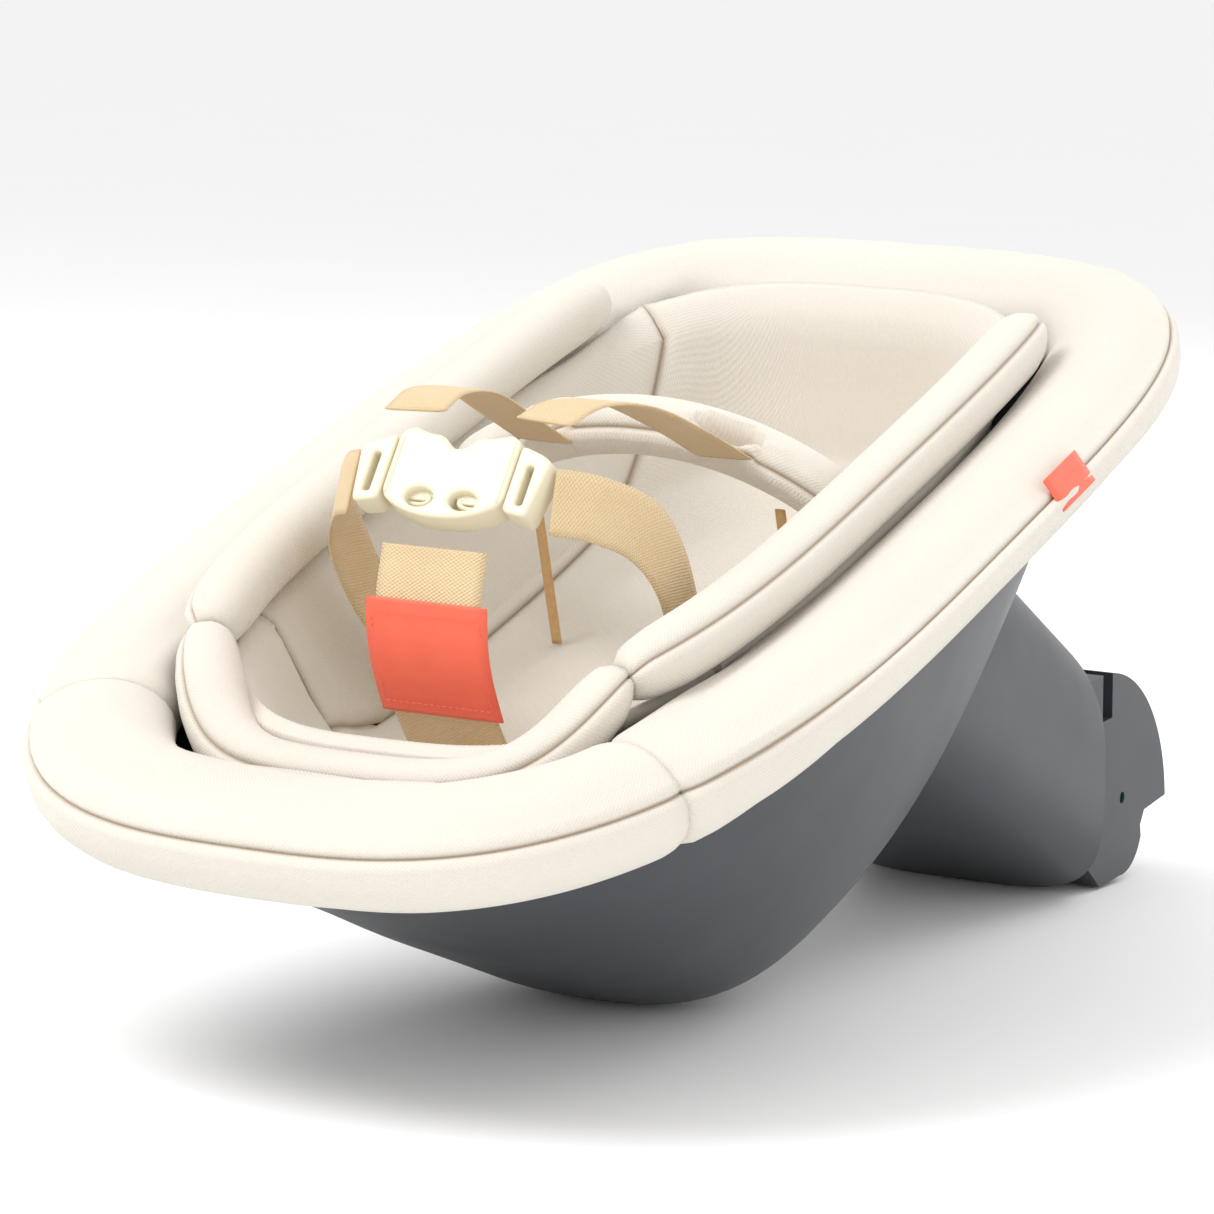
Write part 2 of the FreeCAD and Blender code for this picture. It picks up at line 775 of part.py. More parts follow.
def buckle_body():
    """Flat housing with two lobes at the top, open at both sides for the prongs."""
    body = new_body("buckle_body", BUCKLE)
    face = new_sketch(body, "buckle_face", "XY_Plane")
    half = size("buckle_body_width") / 2
    high = size("buckle_height") / 2
    outline(face, [
        (half, 10 - high),
        (half, high - 1),
        [(half - 6, high + 3), (half - 14, high)],
        (7, high),
        [(0, high - 8), (-7, high)],
        (14 - half, high),
        [(6 - half, high + 3), (-half, high - 1)],
        (-half, 10 - high),
        (-18, 4 - high),
        [(-13, 8 - high), (-8, 4 - high)],
        [(0, 1 - high), (8, 4 - high)],
        [(13, 8 - high), (18, 4 - high)],
    ])
    pad(body, "buckle_plate", face, "buckle_thickness")
    mouth = new_sketch(body, "buckle_mouth", "YZ_Plane")
    rectangle(mouth, -11, 13, -3.4, 3.4)
    pocket(body, "buckle_hollow", mouth, f"{sheet.Name}.buckle_body_width + 10")


def buckle_prongs():
    """Plug on each side: end plate with a webbing bar, and a two-armed tongue."""
    half = size("buckle_body_width") / 2
    for side, name in ((-1, "buckle_prong_left"), (1, "buckle_prong_right")):
        body = new_body(name, BUCKLE)
        plate = new_sketch(body, f"{name}_plate_face", "XY_Plane")
        near = side * (half + 0.3)
        outline(plate, [
            (near, -13),
            (side * (half + 13), -15),
            (side * (half + 17), 12),
            (near, 19),
        ])
        pad(body, f"{name}_plate", plate, "buckle_thickness")
        tongue = new_sketch(body, f"{name}_tongue_face", "XY_Plane")
        outline(tongue, [
            (side * (half + 1), -10),
            (side * 6, -10),
            (side * 2, -6),
            (side * 14, -3),
            (side * 20, -1),
            (side * 20, 3),
            (side * 14, 5),
            (side * 2, 8),
            (side * 6, 12),
            (side * (half + 1), 12),
        ])
        pad(body, f"{name}_tongue", tongue, "prong_thickness")
        slot = new_sketch(body, f"{name}_slot_face", "XY_Plane")
        rectangle(slot, *sorted((side * (half + 6), side * (half + 9))), -9, 9)
        pocket(body, f"{name}_slot", slot, f"{sheet.Name}.buckle_thickness + 10")


TAB_REACH = 16
TAB_WIDTH = 34
TAB_THICKNESS = 1.2
TAB_SLOPE = 58
TAB_OUT = 25
TAB_PLACE = 58
TAB_HEIGHT = 18


def rim_tab():
    """Small woven tab folded into the outer seam of the rim pad."""
    tab = Part.makeBox(TAB_REACH, TAB_WIDTH, TAB_THICKNESS)
    tab.rotate(vector(0, 0, 0), vector(0, 1, 0), TAB_SLOPE)
    tab.translate(vector(size("rim_half_width") + TAB_OUT, TAB_PLACE, TAB_HEIGHT))
    feature("rim_tab", tab, SEAT)


# ---------------------------------------------------------------- build and write

seat_shell()
rim_frame()
rim_pads()
neck_housing()
bulkhead()
coupling_body()
latch_bolt()
lock_indicator()
release_button()
coupling_screws()
rolls()
liner()
shoulder_roll()
elastic_loops()
crotch_strap()
crotch_label()
shoulder_straps()
waist_straps()
buckle_body()
buckle_prongs()
rim_tab()
doc.recompute()

for item in doc.Objects:
    if "Invalid" in item.State or "Error" in item.State:
        raise RuntimeError(f"{item.Label} did not build: {item.State}")
for node in NODES:
    if node.Shape.isNull() or not node.Shape.isValid() or not node.Shape.Solids:
        raise RuntimeError(f"{node.Label} has no valid solid")
    if min(solid.Volume for solid in node.Shape.Solids) <= 0:
        raise RuntimeError(f"{node.Label} has a solid that is empty or inside out")

os.makedirs("parts", exist_ok=True)
for node in NODES:
    node.Shape.exportStep(f"parts/{node.Label}.step")
    bounds = node.Shape.BoundBox
    print(f"{node.Label}: {node.Shape.Volume / 1000:.1f} cm3, {len(node.Shape.Solids)} solid(s), "
          f"Z {bounds.ZMin:.1f} to {bounds.ZMax:.1f}, Y {bounds.YMin:.1f} to {bounds.YMax:.1f}")
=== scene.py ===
import math

import bpy
import numpy as np
from mathutils import Matrix, Vector


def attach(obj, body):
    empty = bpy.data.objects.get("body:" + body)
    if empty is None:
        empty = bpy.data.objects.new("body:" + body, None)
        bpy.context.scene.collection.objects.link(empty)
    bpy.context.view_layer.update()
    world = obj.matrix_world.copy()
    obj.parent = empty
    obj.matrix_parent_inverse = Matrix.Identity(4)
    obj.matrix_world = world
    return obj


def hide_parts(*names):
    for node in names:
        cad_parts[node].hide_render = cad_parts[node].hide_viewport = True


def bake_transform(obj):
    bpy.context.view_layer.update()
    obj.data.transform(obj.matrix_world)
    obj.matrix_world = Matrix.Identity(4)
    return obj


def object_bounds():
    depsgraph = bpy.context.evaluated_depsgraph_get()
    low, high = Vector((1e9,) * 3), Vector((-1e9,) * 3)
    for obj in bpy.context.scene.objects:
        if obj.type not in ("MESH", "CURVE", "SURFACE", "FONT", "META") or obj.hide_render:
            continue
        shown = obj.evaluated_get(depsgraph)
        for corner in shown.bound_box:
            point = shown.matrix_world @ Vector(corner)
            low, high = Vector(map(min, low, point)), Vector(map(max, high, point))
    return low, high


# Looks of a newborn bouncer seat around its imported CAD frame. Metres, +Z up.
# Soft pieces are drawn in millimetres in the plane of the padded rim, then placed.

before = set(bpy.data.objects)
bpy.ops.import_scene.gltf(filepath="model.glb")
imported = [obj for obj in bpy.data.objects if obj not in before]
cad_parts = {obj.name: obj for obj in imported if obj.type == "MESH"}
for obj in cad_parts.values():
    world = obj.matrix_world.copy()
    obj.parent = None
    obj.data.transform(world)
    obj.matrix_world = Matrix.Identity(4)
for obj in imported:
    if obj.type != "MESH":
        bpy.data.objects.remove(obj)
cad_low, cad_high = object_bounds()

MM = 0.001
SEAT = Matrix.Translation((0, -0.0883, 0.2055)) @ Matrix.Rotation(math.radians(19.57), 4, "X")

SIM_FRAMES = 20
SIM_PRESSURE = 4.0


# ---------------------------------------------------------------- shader helpers


def new_material(name, roughness, metallic=0.0, sheen=0.0):
    """A principled material and what its functions need to build on it."""
    material = bpy.data.materials.new(name)
    material.use_nodes = True
    shader = material.node_tree.nodes["Principled BSDF"]
    shader.inputs["Roughness"].default_value = roughness
    shader.inputs["Metallic"].default_value = metallic
    shader.inputs["Sheen Weight"].default_value = sheen
    shader.inputs["Sheen Roughness"].default_value = 0.5
    return material, material.node_tree, shader


def add(tree, kind, **settings):
    node = tree.nodes.new(kind)
    for name, value in settings.items():
        setattr(node, name, value)
    return node


def place_of_surface(tree):
    return add(tree, "ShaderNodeTexCoord").outputs["Object"]


def noise_field(tree, place, scale, detail=3.0):
    node = add(tree, "ShaderNodeTexNoise")
    node.inputs["Scale"].default_value = scale
    node.inputs["Detail"].default_value = detail
    tree.links.new(place, node.inputs["Vector"])
    return node.outputs["Fac"]


def mix_colour(tree, factor, first, second):
    node = add(tree, "ShaderNodeMix", data_type="RGBA")
    tree.links.new(factor, node.inputs["Factor"])
    for socket, value in ((node.inputs[6], first), (node.inputs[7], second)):
        if isinstance(value, tuple):
            socket.default_value = (*value, 1)
        else:
            tree.links.new(value, socket)
    return node.outputs[2]


def scaled(tree, value, factor):
    node = add(tree, "ShaderNodeMath", operation="MULTIPLY")
    tree.links.new(value, node.inputs[0])
    node.inputs[1].default_value = factor
    return node.outputs[0]


def summed(tree, first, second):
    node = add(tree, "ShaderNodeMath", operation="ADD")
    tree.links.new(first, node.inputs[0])
    tree.links.new(second, node.inputs[1])
    return node.outputs[0]


def bump(tree, shader, height, distance, strength=1.0):
    node = add(tree, "ShaderNodeBump")
    node.inputs["Strength"].default_value = strength
    node.inputs["Distance"].default_value = distance
    tree.links.new(height, node.inputs["Height"])
    tree.links.new(node.outputs["Normal"], shader.inputs["Normal"])


def woven(tree, across, along):
    """Threads over and under: two sine waves of the weave's own coordinates."""
    uv = add(tree, "ShaderNodeUVMap", uv_map="weave").outputs["UV"]
    split = add(tree, "ShaderNodeSeparateXYZ")
    tree.links.new(uv, split.inputs[0])
    waves = []
    for axis, count in (("X", across), ("Y", along)):
        turns = scaled(tree, split.outputs[axis], count * 2 * math.pi)
        wave = add(tree, "ShaderNodeMath", operation="SINE")
        tree.links.new(turns, wave.inputs[0])
        waves.append(wave.outputs[0])
    product = add(tree, "ShaderNodeMath", operation="MULTIPLY")
    tree.links.new(waves[0], product.inputs[0])
    tree.links.new(waves[1], product.inputs[1])
    return product.outputs[0]


def half_range(tree, value):
    """From -1..1 to 0..1."""
    node = add(tree, "ShaderNodeMath", operation="MULTIPLY_ADD")
    tree.links.new(value, node.inputs[0])
    node.inputs[1].default_value = 0.5
    node.inputs[2].default_value = 0.5
    return node.outputs[0]


# ---------------------------------------------------------------- materials


def cover_material():
    """Cream cover cloth: fine pique weave, soft mottling, browner in the seams; the same seam attribute
    also paints shade inside the strap slots.
    """
    material, tree, shader = new_material("cover_cloth", 0.86, sheen=0.18)
    place = place_of_surface(tree)
    threads = half_range(tree, woven(tree, 0.55, 0.55))
    mottled = noise_field(tree, place, 9.0)
    cloth = mix_colour(tree, mottled, (0.665, 0.620, 0.550), (0.725, 0.682, 0.612))
    cloth = mix_colour(tree, scaled(tree, threads, 0.16), cloth, (0.60, 0.515, 0.405))
    # The seam attribute darkens sewn seams and also holds the painted shade inside the shoulder-roll
    # strap slots.
    seam = add(tree, "ShaderNodeAttribute", attribute_name="seam").outputs["Fac"]
    cloth = mix_colour(tree, scaled(tree, seam, 0.75), cloth, (0.300, 0.205, 0.120))
    tree.links.new(cloth, shader.inputs["Base Color"])
    fuzz = noise_field(tree, place, 900.0, 2.0)
    bump(tree, shader, summed(tree, threads, scaled(tree, fuzz, 0.35)), 0.00035, 0.55)
    return material


def webbing_material():
    """Tan ribbed webbing, darker between the ribs."""
    material, tree, shader = new_material("webbing_weave", 0.72, sheen=0.12)
    place = place_of_surface(tree)
    threads = half_range(tree, woven(tree, 0.42, 0.62))
    worn = noise_field(tree, place, 35.0)
    colour = mix_colour(tree, worn, (0.690, 0.510, 0.285), (0.790, 0.625, 0.390))
    colour = mix_colour(tree, scaled(tree, threads, 0.45), colour, (0.500, 0.335, 0.160))
    tree.links.new(colour, shader.inputs["Base Color"])
    bump(tree, shader, threads, 0.0006, 0.8)
    return material


def elastic_material():
    material, tree, shader = new_material("elastic_weave", 0.8, sheen=0.1)
    place = place_of_surface(tree)
    grain = noise_field(tree, place, 420.0)
    colour = mix_colour(tree, grain, (0.55, 0.32, 0.13), (0.72, 0.48, 0.24))
    tree.links.new(colour, shader.inputs["Base Color"])
    bump(tree, shader, grain, 0.0004, 0.7)
    return material


def label_material():
    """Coral woven label with a matt coated face."""
    material, tree, shader = new_material("label_cloth", 0.55, sheen=0.05)
    place = place_of_surface(tree)
    threads = half_range(tree, woven(tree, 1.1, 1.1))
    mottled = noise_field(tree, place, 60.0)
    colour = mix_colour(tree, mottled, (0.86, 0.125, 0.066), (0.93, 0.165, 0.092))
    colour = mix_colour(tree, scaled(tree, threads, 0.2), colour, (0.70, 0.09, 0.045))
    tree.links.new(colour, shader.inputs["Base Color"])
    bump(tree, shader, threads, 0.0002, 0.5)
    return material


def plastic_material(name, light, dark, roughness, grain_depth):
    """Moulded plastic with a fine spark-eroded grain and slightly uneven gloss."""
    material, tree, shader = new_material(name, roughness)
    place = place_of_surface(tree)
    cloud = noise_field(tree, place, 6.0)
    colour = mix_colour(tree, cloud, dark, light)
    tree.links.new(colour, shader.inputs["Base Color"])
    gloss = add(tree, "ShaderNodeMapRange")
    tree.links.new(noise_field(tree, place, 22.0), gloss.inputs["Value"])
    gloss.inputs["To Min"].default_value = roughness - 0.05
    gloss.inputs["To Max"].default_value = roughness + 0.06
    tree.links.new(gloss.outputs["Result"], shader.inputs["Roughness"])
    bump(tree, shader, noise_field(tree, place, 1400.0, 2.0), grain_depth, 0.35)
    return material


def steel_material():
    material, tree, shader = new_material("zinc_steel", 0.34, metallic=1.0)
    place = place_of_surface(tree)
    spangle = noise_field(tree, place, 160.0)
    colour = mix_colour(tree, spangle, (0.52, 0.53, 0.55), (0.70, 0.71, 0.73))
    tree.links.new(colour, shader.inputs["Base Color"])
    bump(tree, shader, spangle, 0.00015, 0.4)
    return material


def floor_material():
    material, tree, shader = new_material("pale_floor", 0.9)
    place = place_of_surface(tree)
    colour = mix_colour(tree, noise_field(tree, place, 3.0), (0.93, 0.93, 0.93), (0.95, 0.95, 0.95))
    tree.links.new(colour, shader.inputs["Base Color"])
    return material


COVER = cover_material()
WEBBING = webbing_material()
ELASTIC = elastic_material()
LABEL = label_material()
SHELL = plastic_material("shell_plastic", (0.040, 0.045, 0.053), (0.032, 0.036, 0.043), 0.42, 0.0001)
LATCH = plastic_material("latch_plastic", (0.050, 0.056, 0.066), (0.038, 0.043, 0.052), 0.38, 0.0001)
GREEN = plastic_material("lock_green", (0.040, 0.420, 0.110), (0.030, 0.340, 0.085), 0.40, 0.0001)
BUCKLE_PLASTIC = plastic_material(
    "buckle_plastic", (0.760, 0.700, 0.530), (0.720, 0.660, 0.490), 0.36, 0.00008)
STEEL = steel_material()


# ---------------------------------------------------------------- meshes from rings


def smooth_object(name, points, faces, weave, seam, material, placed=SEAT):
    """A mesh piece: millimetre points in the rim's plane, a weave map, a seam attribute (darker seams,
    and painted shade in the strap slots).
    """
    mesh = bpy.data.meshes.new(name)
    world = [placed @ (Vector(point) * MM) for point in points]
    mesh.from_pydata(world, [], faces)
    mesh.polygons.foreach_set("use_smooth", [True] * len(mesh.polygons))
    layer = mesh.uv_layers.new(name="weave")
    values = np.empty(2 * len(mesh.loops))
    corner = 0
    for corners in weave:
        for uv in corners:
            values[corner:corner + 2] = uv
            corner += 2
    layer.data.foreach_set("uv", values)
    attribute = mesh.attributes.new("seam", "FLOAT", "POINT")
    attribute.data.foreach_set("value", seam)
    mesh.materials.append(material)
    mesh.validate()
    piece = bpy.data.objects.new(name, mesh)
    bpy.context.scene.collection.objects.link(piece)
    return piece


def tube_faces(count, around, closed_run, arc, run):
    """Faces and weave coordinates of rings joined one to the next."""
    faces = []
    weave = []
    last = count if closed_run else count - 1
    for ring in range(last):
        following = (ring + 1) % count
        for step in range(around):
            beside = (step + 1) % around
            faces.append((ring * around + step, ring * around + beside,
                          following * around + beside, following * around + step))
            low_u = arc[step]
            high_u = arc[step + 1]
            low_v = run[ring]
            high_v = run[ring + 1]
            weave.append(((low_u, low_v), (high_u, low_v), (high_u, high_v), (low_u, high_v)))
    return faces, weave


def lengths(points, closed):
    """Running length along the first index of an array of points."""
    ends = np.vstack([points, points[:1]]) if closed else points
    steps = np.linalg.norm(np.diff(ends, axis=0), axis=1)
    return np.concatenate([[0.0], np.cumsum(steps)])


def periodic_sample(values, places):
    """Cubic sampling of a closed row of values at fractional places, 0..count."""
    count = len(values)
    base = np.floor(places).astype(int)
    share = (places - base)[:, None]
    before, here, after, beyond = (values[(base + k) % count] for k in (-1, 0, 1, 2))
    return 0.5 * (
        2 * here + (after - before) * share
        + (2 * before - 5 * here + 4 * after - beyond) * share ** 2
        + (3 * here - before - 3 * after + beyond) * share ** 3
    )


def refined_run(grid, times):
    """More rings along an open run, by cubic sampling between the given ones."""
    padded = np.concatenate([2 * grid[:1] - grid[1:2], grid, 2 * grid[-1:] - grid[-2:-1]])
    rings = []
    for index in range(len(grid) - 1):
        for part in range(times):
            t = part / times
            before, here, after, beyond = padded[index:index + 4]
            rings.append(0.5 * (
                2 * here + (after - before) * t
                + (2 * before - 5 * here + 4 * after - beyond) * t ** 2
                + (3 * here - before - 3 * after + beyond) * t ** 3
            ))
    rings.append(grid[-1])
    return np.array(rings)


# ---------------------------------------------------------------- padding by cloth


def puffed(name, grid, pinned_steps, cap, closed_ends=True):
    """Cloth pressure on a ring grid, seams held; returns the swollen grid."""
    count, around = grid.shape[:2]
    points = grid.reshape(-1, 3) * MM
    faces = []
    for ring in range(count - 1):
        for step in range(around):
            beside = (step + 1) % around
            faces.append((ring * around + step, ring * around + beside,
                          (ring + 1) * around + beside, (ring + 1) * around + step))
    if closed_ends:
        faces.append(tuple(range(around - 1, -1, -1)))
        faces.append(tuple(range((count - 1) * around, count * around)))
    mesh = bpy.data.meshes.new(name + "_sim")
    mesh.from_pydata([tuple(p) for p in points], [], faces)
    body = bpy.data.objects.new(name + "_sim", mesh)
    bpy.context.scene.collection.objects.link(body)
    held = body.vertex_groups.new(name="held")
    ends = list(range(around)) + list(range((count - 1) * around, count * around))
    held.add(ends, 1.0, "REPLACE")
    for step in pinned_steps:
        held.add([ring * around + step for ring in range(count)], 1.0, "REPLACE")
    cloth = body.modifiers.new("cloth", "CLOTH")
    settings = cloth.settings
    settings.quality = 6
    settings.mass = 0.25
    settings.tension_stiffness = 12
    settings.compression_stiffness = 12
    settings.bending_stiffness = 0.6
    settings.vertex_group_mass = "held"
    settings.use_pressure = True
    settings.uniform_pressure_force = SIM_PRESSURE
    settings.effector_weights.gravity = 0
    cloth.point_cache.frame_start = 1
    cloth.point_cache.frame_end = SIM_FRAMES
    scene = bpy.context.scene
    for moment in range(1, SIM_FRAMES + 1):
        scene.frame_set(moment)
    evaluated = body.evaluated_get(bpy.context.evaluated_depsgraph_get())
    swollen = np.empty(3 * len(mesh.vertices))
    evaluated.data.vertices.foreach_get("co", swollen)
    swollen = swollen.reshape(-1, 3) / MM
    bpy.data.objects.remove(body, do_unlink=True)
    scene.frame_set(1)
    rest = grid.reshape(-1, 3)
    move = swollen - rest
    length = np.linalg.norm(move, axis=1, keepdims=True)
    move *= np.minimum(1.0, cap / np.maximum(length, 1e-9))
    return (rest + move).reshape(grid.shape)


SEAM_ROWS = (-5.0, -2.6, -1.5, -0.8, -0.3, 0.3, 0.8, 1.5, 2.6, 5.0)


def section_places(around, seams, per_step, width):
    """Fractional places round a section, closer together beside each seam."""
    places = set(np.round(np.arange(0, around, 1 / per_step), 4))
    for seam in seams:
        near = {p for p in places if min(abs(p - seam), around - abs(p - seam)) < 5.4 / width}
        places -= near
        for row in SEAM_ROWS:
            places.add(round((seam + row / width) % around, 4))
        places.add(round(seam % around, 4))
    return np.array(sorted(places))


def padded_tube(name, grid, seams, closed_run, depth, cap, pucker, run_times=2, per_step=1):
    """A padded tube of cloth with sewn seams that run along it."""
    around = grid.shape[1]
    grid = puffed(name, grid, [int(round(seam)) for seam in seams], cap, not closed_run)
    if closed_run:
        grid = np.concatenate([grid, grid[:1]])
    grid = refined_run(grid, run_times)
    if closed_run:
        grid = grid[:-1]
    width = float(np.mean([lengths(ring, True)[-1] for ring in grid[:: max(1, len(grid) // 8)]])) / around
    places = section_places(around, seams, per_step, width)
    rings = np.array([periodic_sample(ring, places) for ring in grid])
    if closed_run:
        forward = np.roll(rings, -1, axis=0) - np.roll(rings, 1, axis=0)
    else:
        forward = np.gradient(rings, axis=0)
    sideways = np.roll(rings, -1, axis=1) - np.roll(rings, 1, axis=1)
    normal = np.cross(forward, sideways)
    normal /= np.maximum(np.linalg.norm(normal, axis=2, keepdims=True), 1e-9)
    centre = rings.mean(axis=1, keepdims=True)
    outward = np.sign(np.sum(normal * (rings - centre), axis=2, keepdims=True))
    normal *= np.where(outward == 0, 1, outward)
    run = lengths(rings[:, 0], closed_run)
    darkening = np.zeros(rings.shape[:2])
    push = np.zeros(rings.shape[:2])
    for seam in seams:
        gap = np.abs(places - seam)
        gap = np.minimum(gap, around - gap) * width
        push -= depth * np.exp(-(gap / 1.1) ** 2)[None, :]
        push += 0.45 * depth * np.exp(-((gap - 4.5) / 2.6) ** 2)[None, :]
        darkening = np.maximum(darkening, np.exp(-(gap / 0.75) ** 2)[None, :] * np.ones((len(rings), 1)))
        ripple = np.sin(run[:len(rings)] / 3.1) * np.sin(run[:len(rings)] / 7.7 + seam)
        push += pucker * ripple[:, None] * np.exp(-((gap - 5) / 4.5) ** 2)[None, :]
    rings = rings + normal * push[:, :, None]
    arc = np.concatenate([places, [around]]) * width
    faces, weave = tube_faces(len(rings), len(places), closed_run, arc, run)
    points = rings.reshape(-1, 3)
    seam_values = darkening.reshape(-1)
    if not closed_run:
        for ring, turn in ((0, -1), (len(rings) - 1, 1)):
            start = ring * len(places)
            tip = points[start:start + len(places)].mean(axis=0)
            points = np.vstack([points, tip])
            seam_values = np.append(seam_values, 0.6)
            hub = len(points) - 1
            for step in range(len(places)):
                beside = (step + 1) % len(places)
                pair = (start + step, start + beside)
                faces.append((*(pair if turn > 0 else pair[::-1]), hub))
                weave.append(((arc[step], 0), (arc[step + 1], 0), (arc[step], 8)))
    piece = smooth_object(name, points, faces, weave, seam_values, COVER)
    return piece


# ---------------------------------------------------------------- the padded rim


def power_of(value, power):
    return math.copysign(abs(value) ** power, value)


def oval_frame(angle, half_x, head_y, foot_y, head_power, foot_power):
    """Place and outward direction on the rounded oval that the CAD pieces follow."""
    along = math.sin(angle)
    power = head_power if along > 0 else foot_power
    reach = head_y if along > 0 else foot_y
    x = half_x * power_of(math.cos(angle), 2 / power)
    y = reach * power_of(along, 2 / power)
    nx = power_of(x / half_x, power - 1) / half_x
    ny = power_of(y / reach, power - 1) / reach
    size = math.hypot(nx, ny)
    return x, y, nx / size, ny / size


def even_oval(count, start, end, oval):
    """Angles that step evenly by length along an oval, from start to end in radians."""
    fine = np.linspace(start, end, 4001)
    trace = np.array([oval_frame(a, *oval)[:2] for a in fine])
    travelled = lengths(trace, False)
    return np.interp(np.linspace(0, travelled[-1], count), travelled, fine)


RIM_OVAL = (155, 288, 288, 4.2, 3.0)
RIM_AROUND = 28
RIM_SEAM = RIM_AROUND * 22 / 360
RIM_UNDER_SEAM = RIM_AROUND * 235 / 360
RIM_JOINT = math.asin((218 / 288) ** 1.5)


def rim_grid(start, end, count):
    """Rings of the padded rim, drawn in a little at both ends where it is sewn."""
    rings = []
    angles = even_oval(count, start, end, RIM_OVAL)
    for index, angle in enumerate(angles):
        x, y, nx, ny = oval_frame(angle, *RIM_OVAL)
        from_end = min(index, count - 1 - index)
        share = {0: 0.90, 1: 0.985}.get(from_end, 1.0)
        ring = []
        for step in range(RIM_AROUND):
            turn = 2 * math.pi * step / RIM_AROUND
            out = 31.3 * share * math.cos(turn)
            lift = 23.2 * share * math.sin(turn)
            ring.append((x + nx * out, y + ny * out, lift))
        rings.append(ring)
    return np.array(rings, float)


def padded_rim():
    seams = [round(RIM_SEAM), round(RIM_UNDER_SEAM)]
    body = padded_tube("rim_cover_body", rim_grid(-RIM_JOINT, math.pi + RIM_JOINT, 210), seams,
                       False, 1.9, 3.0, 0.28)
    foot = padded_tube("rim_cover_foot", rim_grid(math.pi + RIM_JOINT, 2 * math.pi - RIM_JOINT, 56),
                       seams, False, 1.9, 3.0, 0.28)
    for piece, node in ((body, "rim_pad_body"), (foot, "rim_pad_foot")):
        finish_soft(piece, node)
    return body, foot


def finish_soft(piece, nodes):
    """Common ending of a padded piece: which body, which CAD nodes."""
    names = [nodes] if isinstance(nodes, str) else nodes
    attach(piece, "seat")
    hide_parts(*names)


# ---------------------------------------------------------------- padded rolls

ROLL_OVAL = (118, 300, 233, 4.0, 3.0)
ROLL_FOOT_JOINT = 174
ROLL_HEAD_TIP = 199
ROLL_AROUND = 18


def roll_height(y):
    share = min(max((y + 233) / 68, 0), 1)
    return -6 + 32 * share * share * (3 - 2 * share)


def roll_grid(start, end, count, tip_share):
    """Rings of a roll with soft tapered tips; tip_share is how far the ends close."""
    angles = even_oval(count, start, end, ROLL_OVAL)
    rings = []
    for index, angle in enumerate(angles):
        x, y, nx, ny = oval_frame(angle, *ROLL_OVAL)
        reach = [index / 5.0, (count - 1 - index) / 5.0]
        share = 1.0
        for place, tip in zip(reach, tip_share):
            if place < 1:
                share = min(share, tip + (1 - tip) * math.sqrt(1 - (1 - place) ** 2))
        ring = []
        for step in range(ROLL_AROUND):
            turn = 2 * math.pi * step / ROLL_AROUND
            out = 14.4 * share * math.cos(turn)
            lift = 14.4 * share * math.sin(turn)
            ring.append((x + nx * out, y + ny * out, roll_height(y) + lift))
        rings.append(ring)
    return np.array(rings, float)


def padded_rolls():
    joint = math.asin((ROLL_FOOT_JOINT / ROLL_OVAL[2]) ** 1.5)
    head = math.asin((ROLL_HEAD_TIP / ROLL_OVAL[1]) ** 2)
    seam = [round(ROLL_AROUND * 30 / 360)]
    spans = (
        ("roll_cover_right", "roll_right", -joint, head, 62, (0.55, 0.30)),
        ("roll_cover_left", "roll_left", math.pi - head, math.pi + joint, 62, (0.30, 0.55)),
        ("roll_cover_foot", "roll_foot", math.pi + joint + 0.01, 2 * math.pi - joint - 0.01, 46,
         (0.45, 0.55)),
    )
    for name, node, start, end, count, tips in spans:
        piece = padded_tube(name, roll_grid(start, end, count, tips), seam, False, 1.5, 1.8, 0.22)
        finish_soft(piece, node)


# ---------------------------------------------------------------- liner panels

LINER_TOP = 3.0

# Inner face of the liner, top to bottom: height, half width, foot end, head end.
LINER_LEVELS = [
    (LINER_TOP, 112, -206, 241),
    (-30, 101, -195, 230),
    (-60, 90, -162, 216),
    (-77.5, 66, -112, 178),
]
LINER_POWER = 3.1
VALLEY = 84
FOOT_SEAM = -120
LINER_SKIN = 6.0


def liner_values(s):
    """Height, half width, middle and reach of the liner's inner face at level s, 0..3."""
    table = np.array(LINER_LEVELS, float)
    row = np.clip(s, 0, len(table) - 1)
    index = np.minimum(row.astype(int), len(table) - 2)
    share = (row - index)[..., None]
    values = table[index] * (1 - share) + table[index + 1] * share
    height, half, foot, head = np.moveaxis(values, -1, 0)
    return height, half, (head + foot) / 2, (head - foot) / 2


def liner_height(x, y):
    """The inner face as a height over the rim plane, found level by level."""
    low = np.zeros_like(x)
    high = np.full_like(x, len(LINER_LEVELS) - 1.0)
    for _ in range(26):
        middle = (low + high) / 2
        _, half, centre, reach = liner_values(middle)
        size = (np.abs(x / half) ** LINER_POWER + np.abs((y - centre) / reach) ** LINER_POWER)
        inside = size < 1
        low = np.where(inside, middle, low)
        high = np.where(inside, high, middle)
    height = liner_values(low)[0]
    _, half, centre, reach = liner_values(np.full_like(x, len(LINER_LEVELS) - 1.0))
    floor = np.abs(x / half) ** 2 + np.abs((y - centre) / reach) ** 2
    return np.where(low > len(LINER_LEVELS) - 1.001, height - 1.5 * np.clip(1 - floor, 0, 1), height)


def liner_edge_y(x, sign):
    _, half, centre, reach = liner_values(np.zeros_like(x))
    room = np.clip(1 - np.abs(x / half) ** LINER_POWER, 0, 1)
    return centre + sign * reach * room ** (1 / LINER_POWER)


def liner_edge_x(y):
    _, half, centre, reach = liner_values(np.zeros_like(y))
    room = np.clip(1 - np.abs((y - centre) / reach) ** LINER_POWER, 0, 1)
    return half * room ** (1 / LINER_POWER)


def smooth_step(value, start, end):
    share = np.clip((value - start) / (end - start), 0, 1)
    return share * share * (3 - 2 * share)


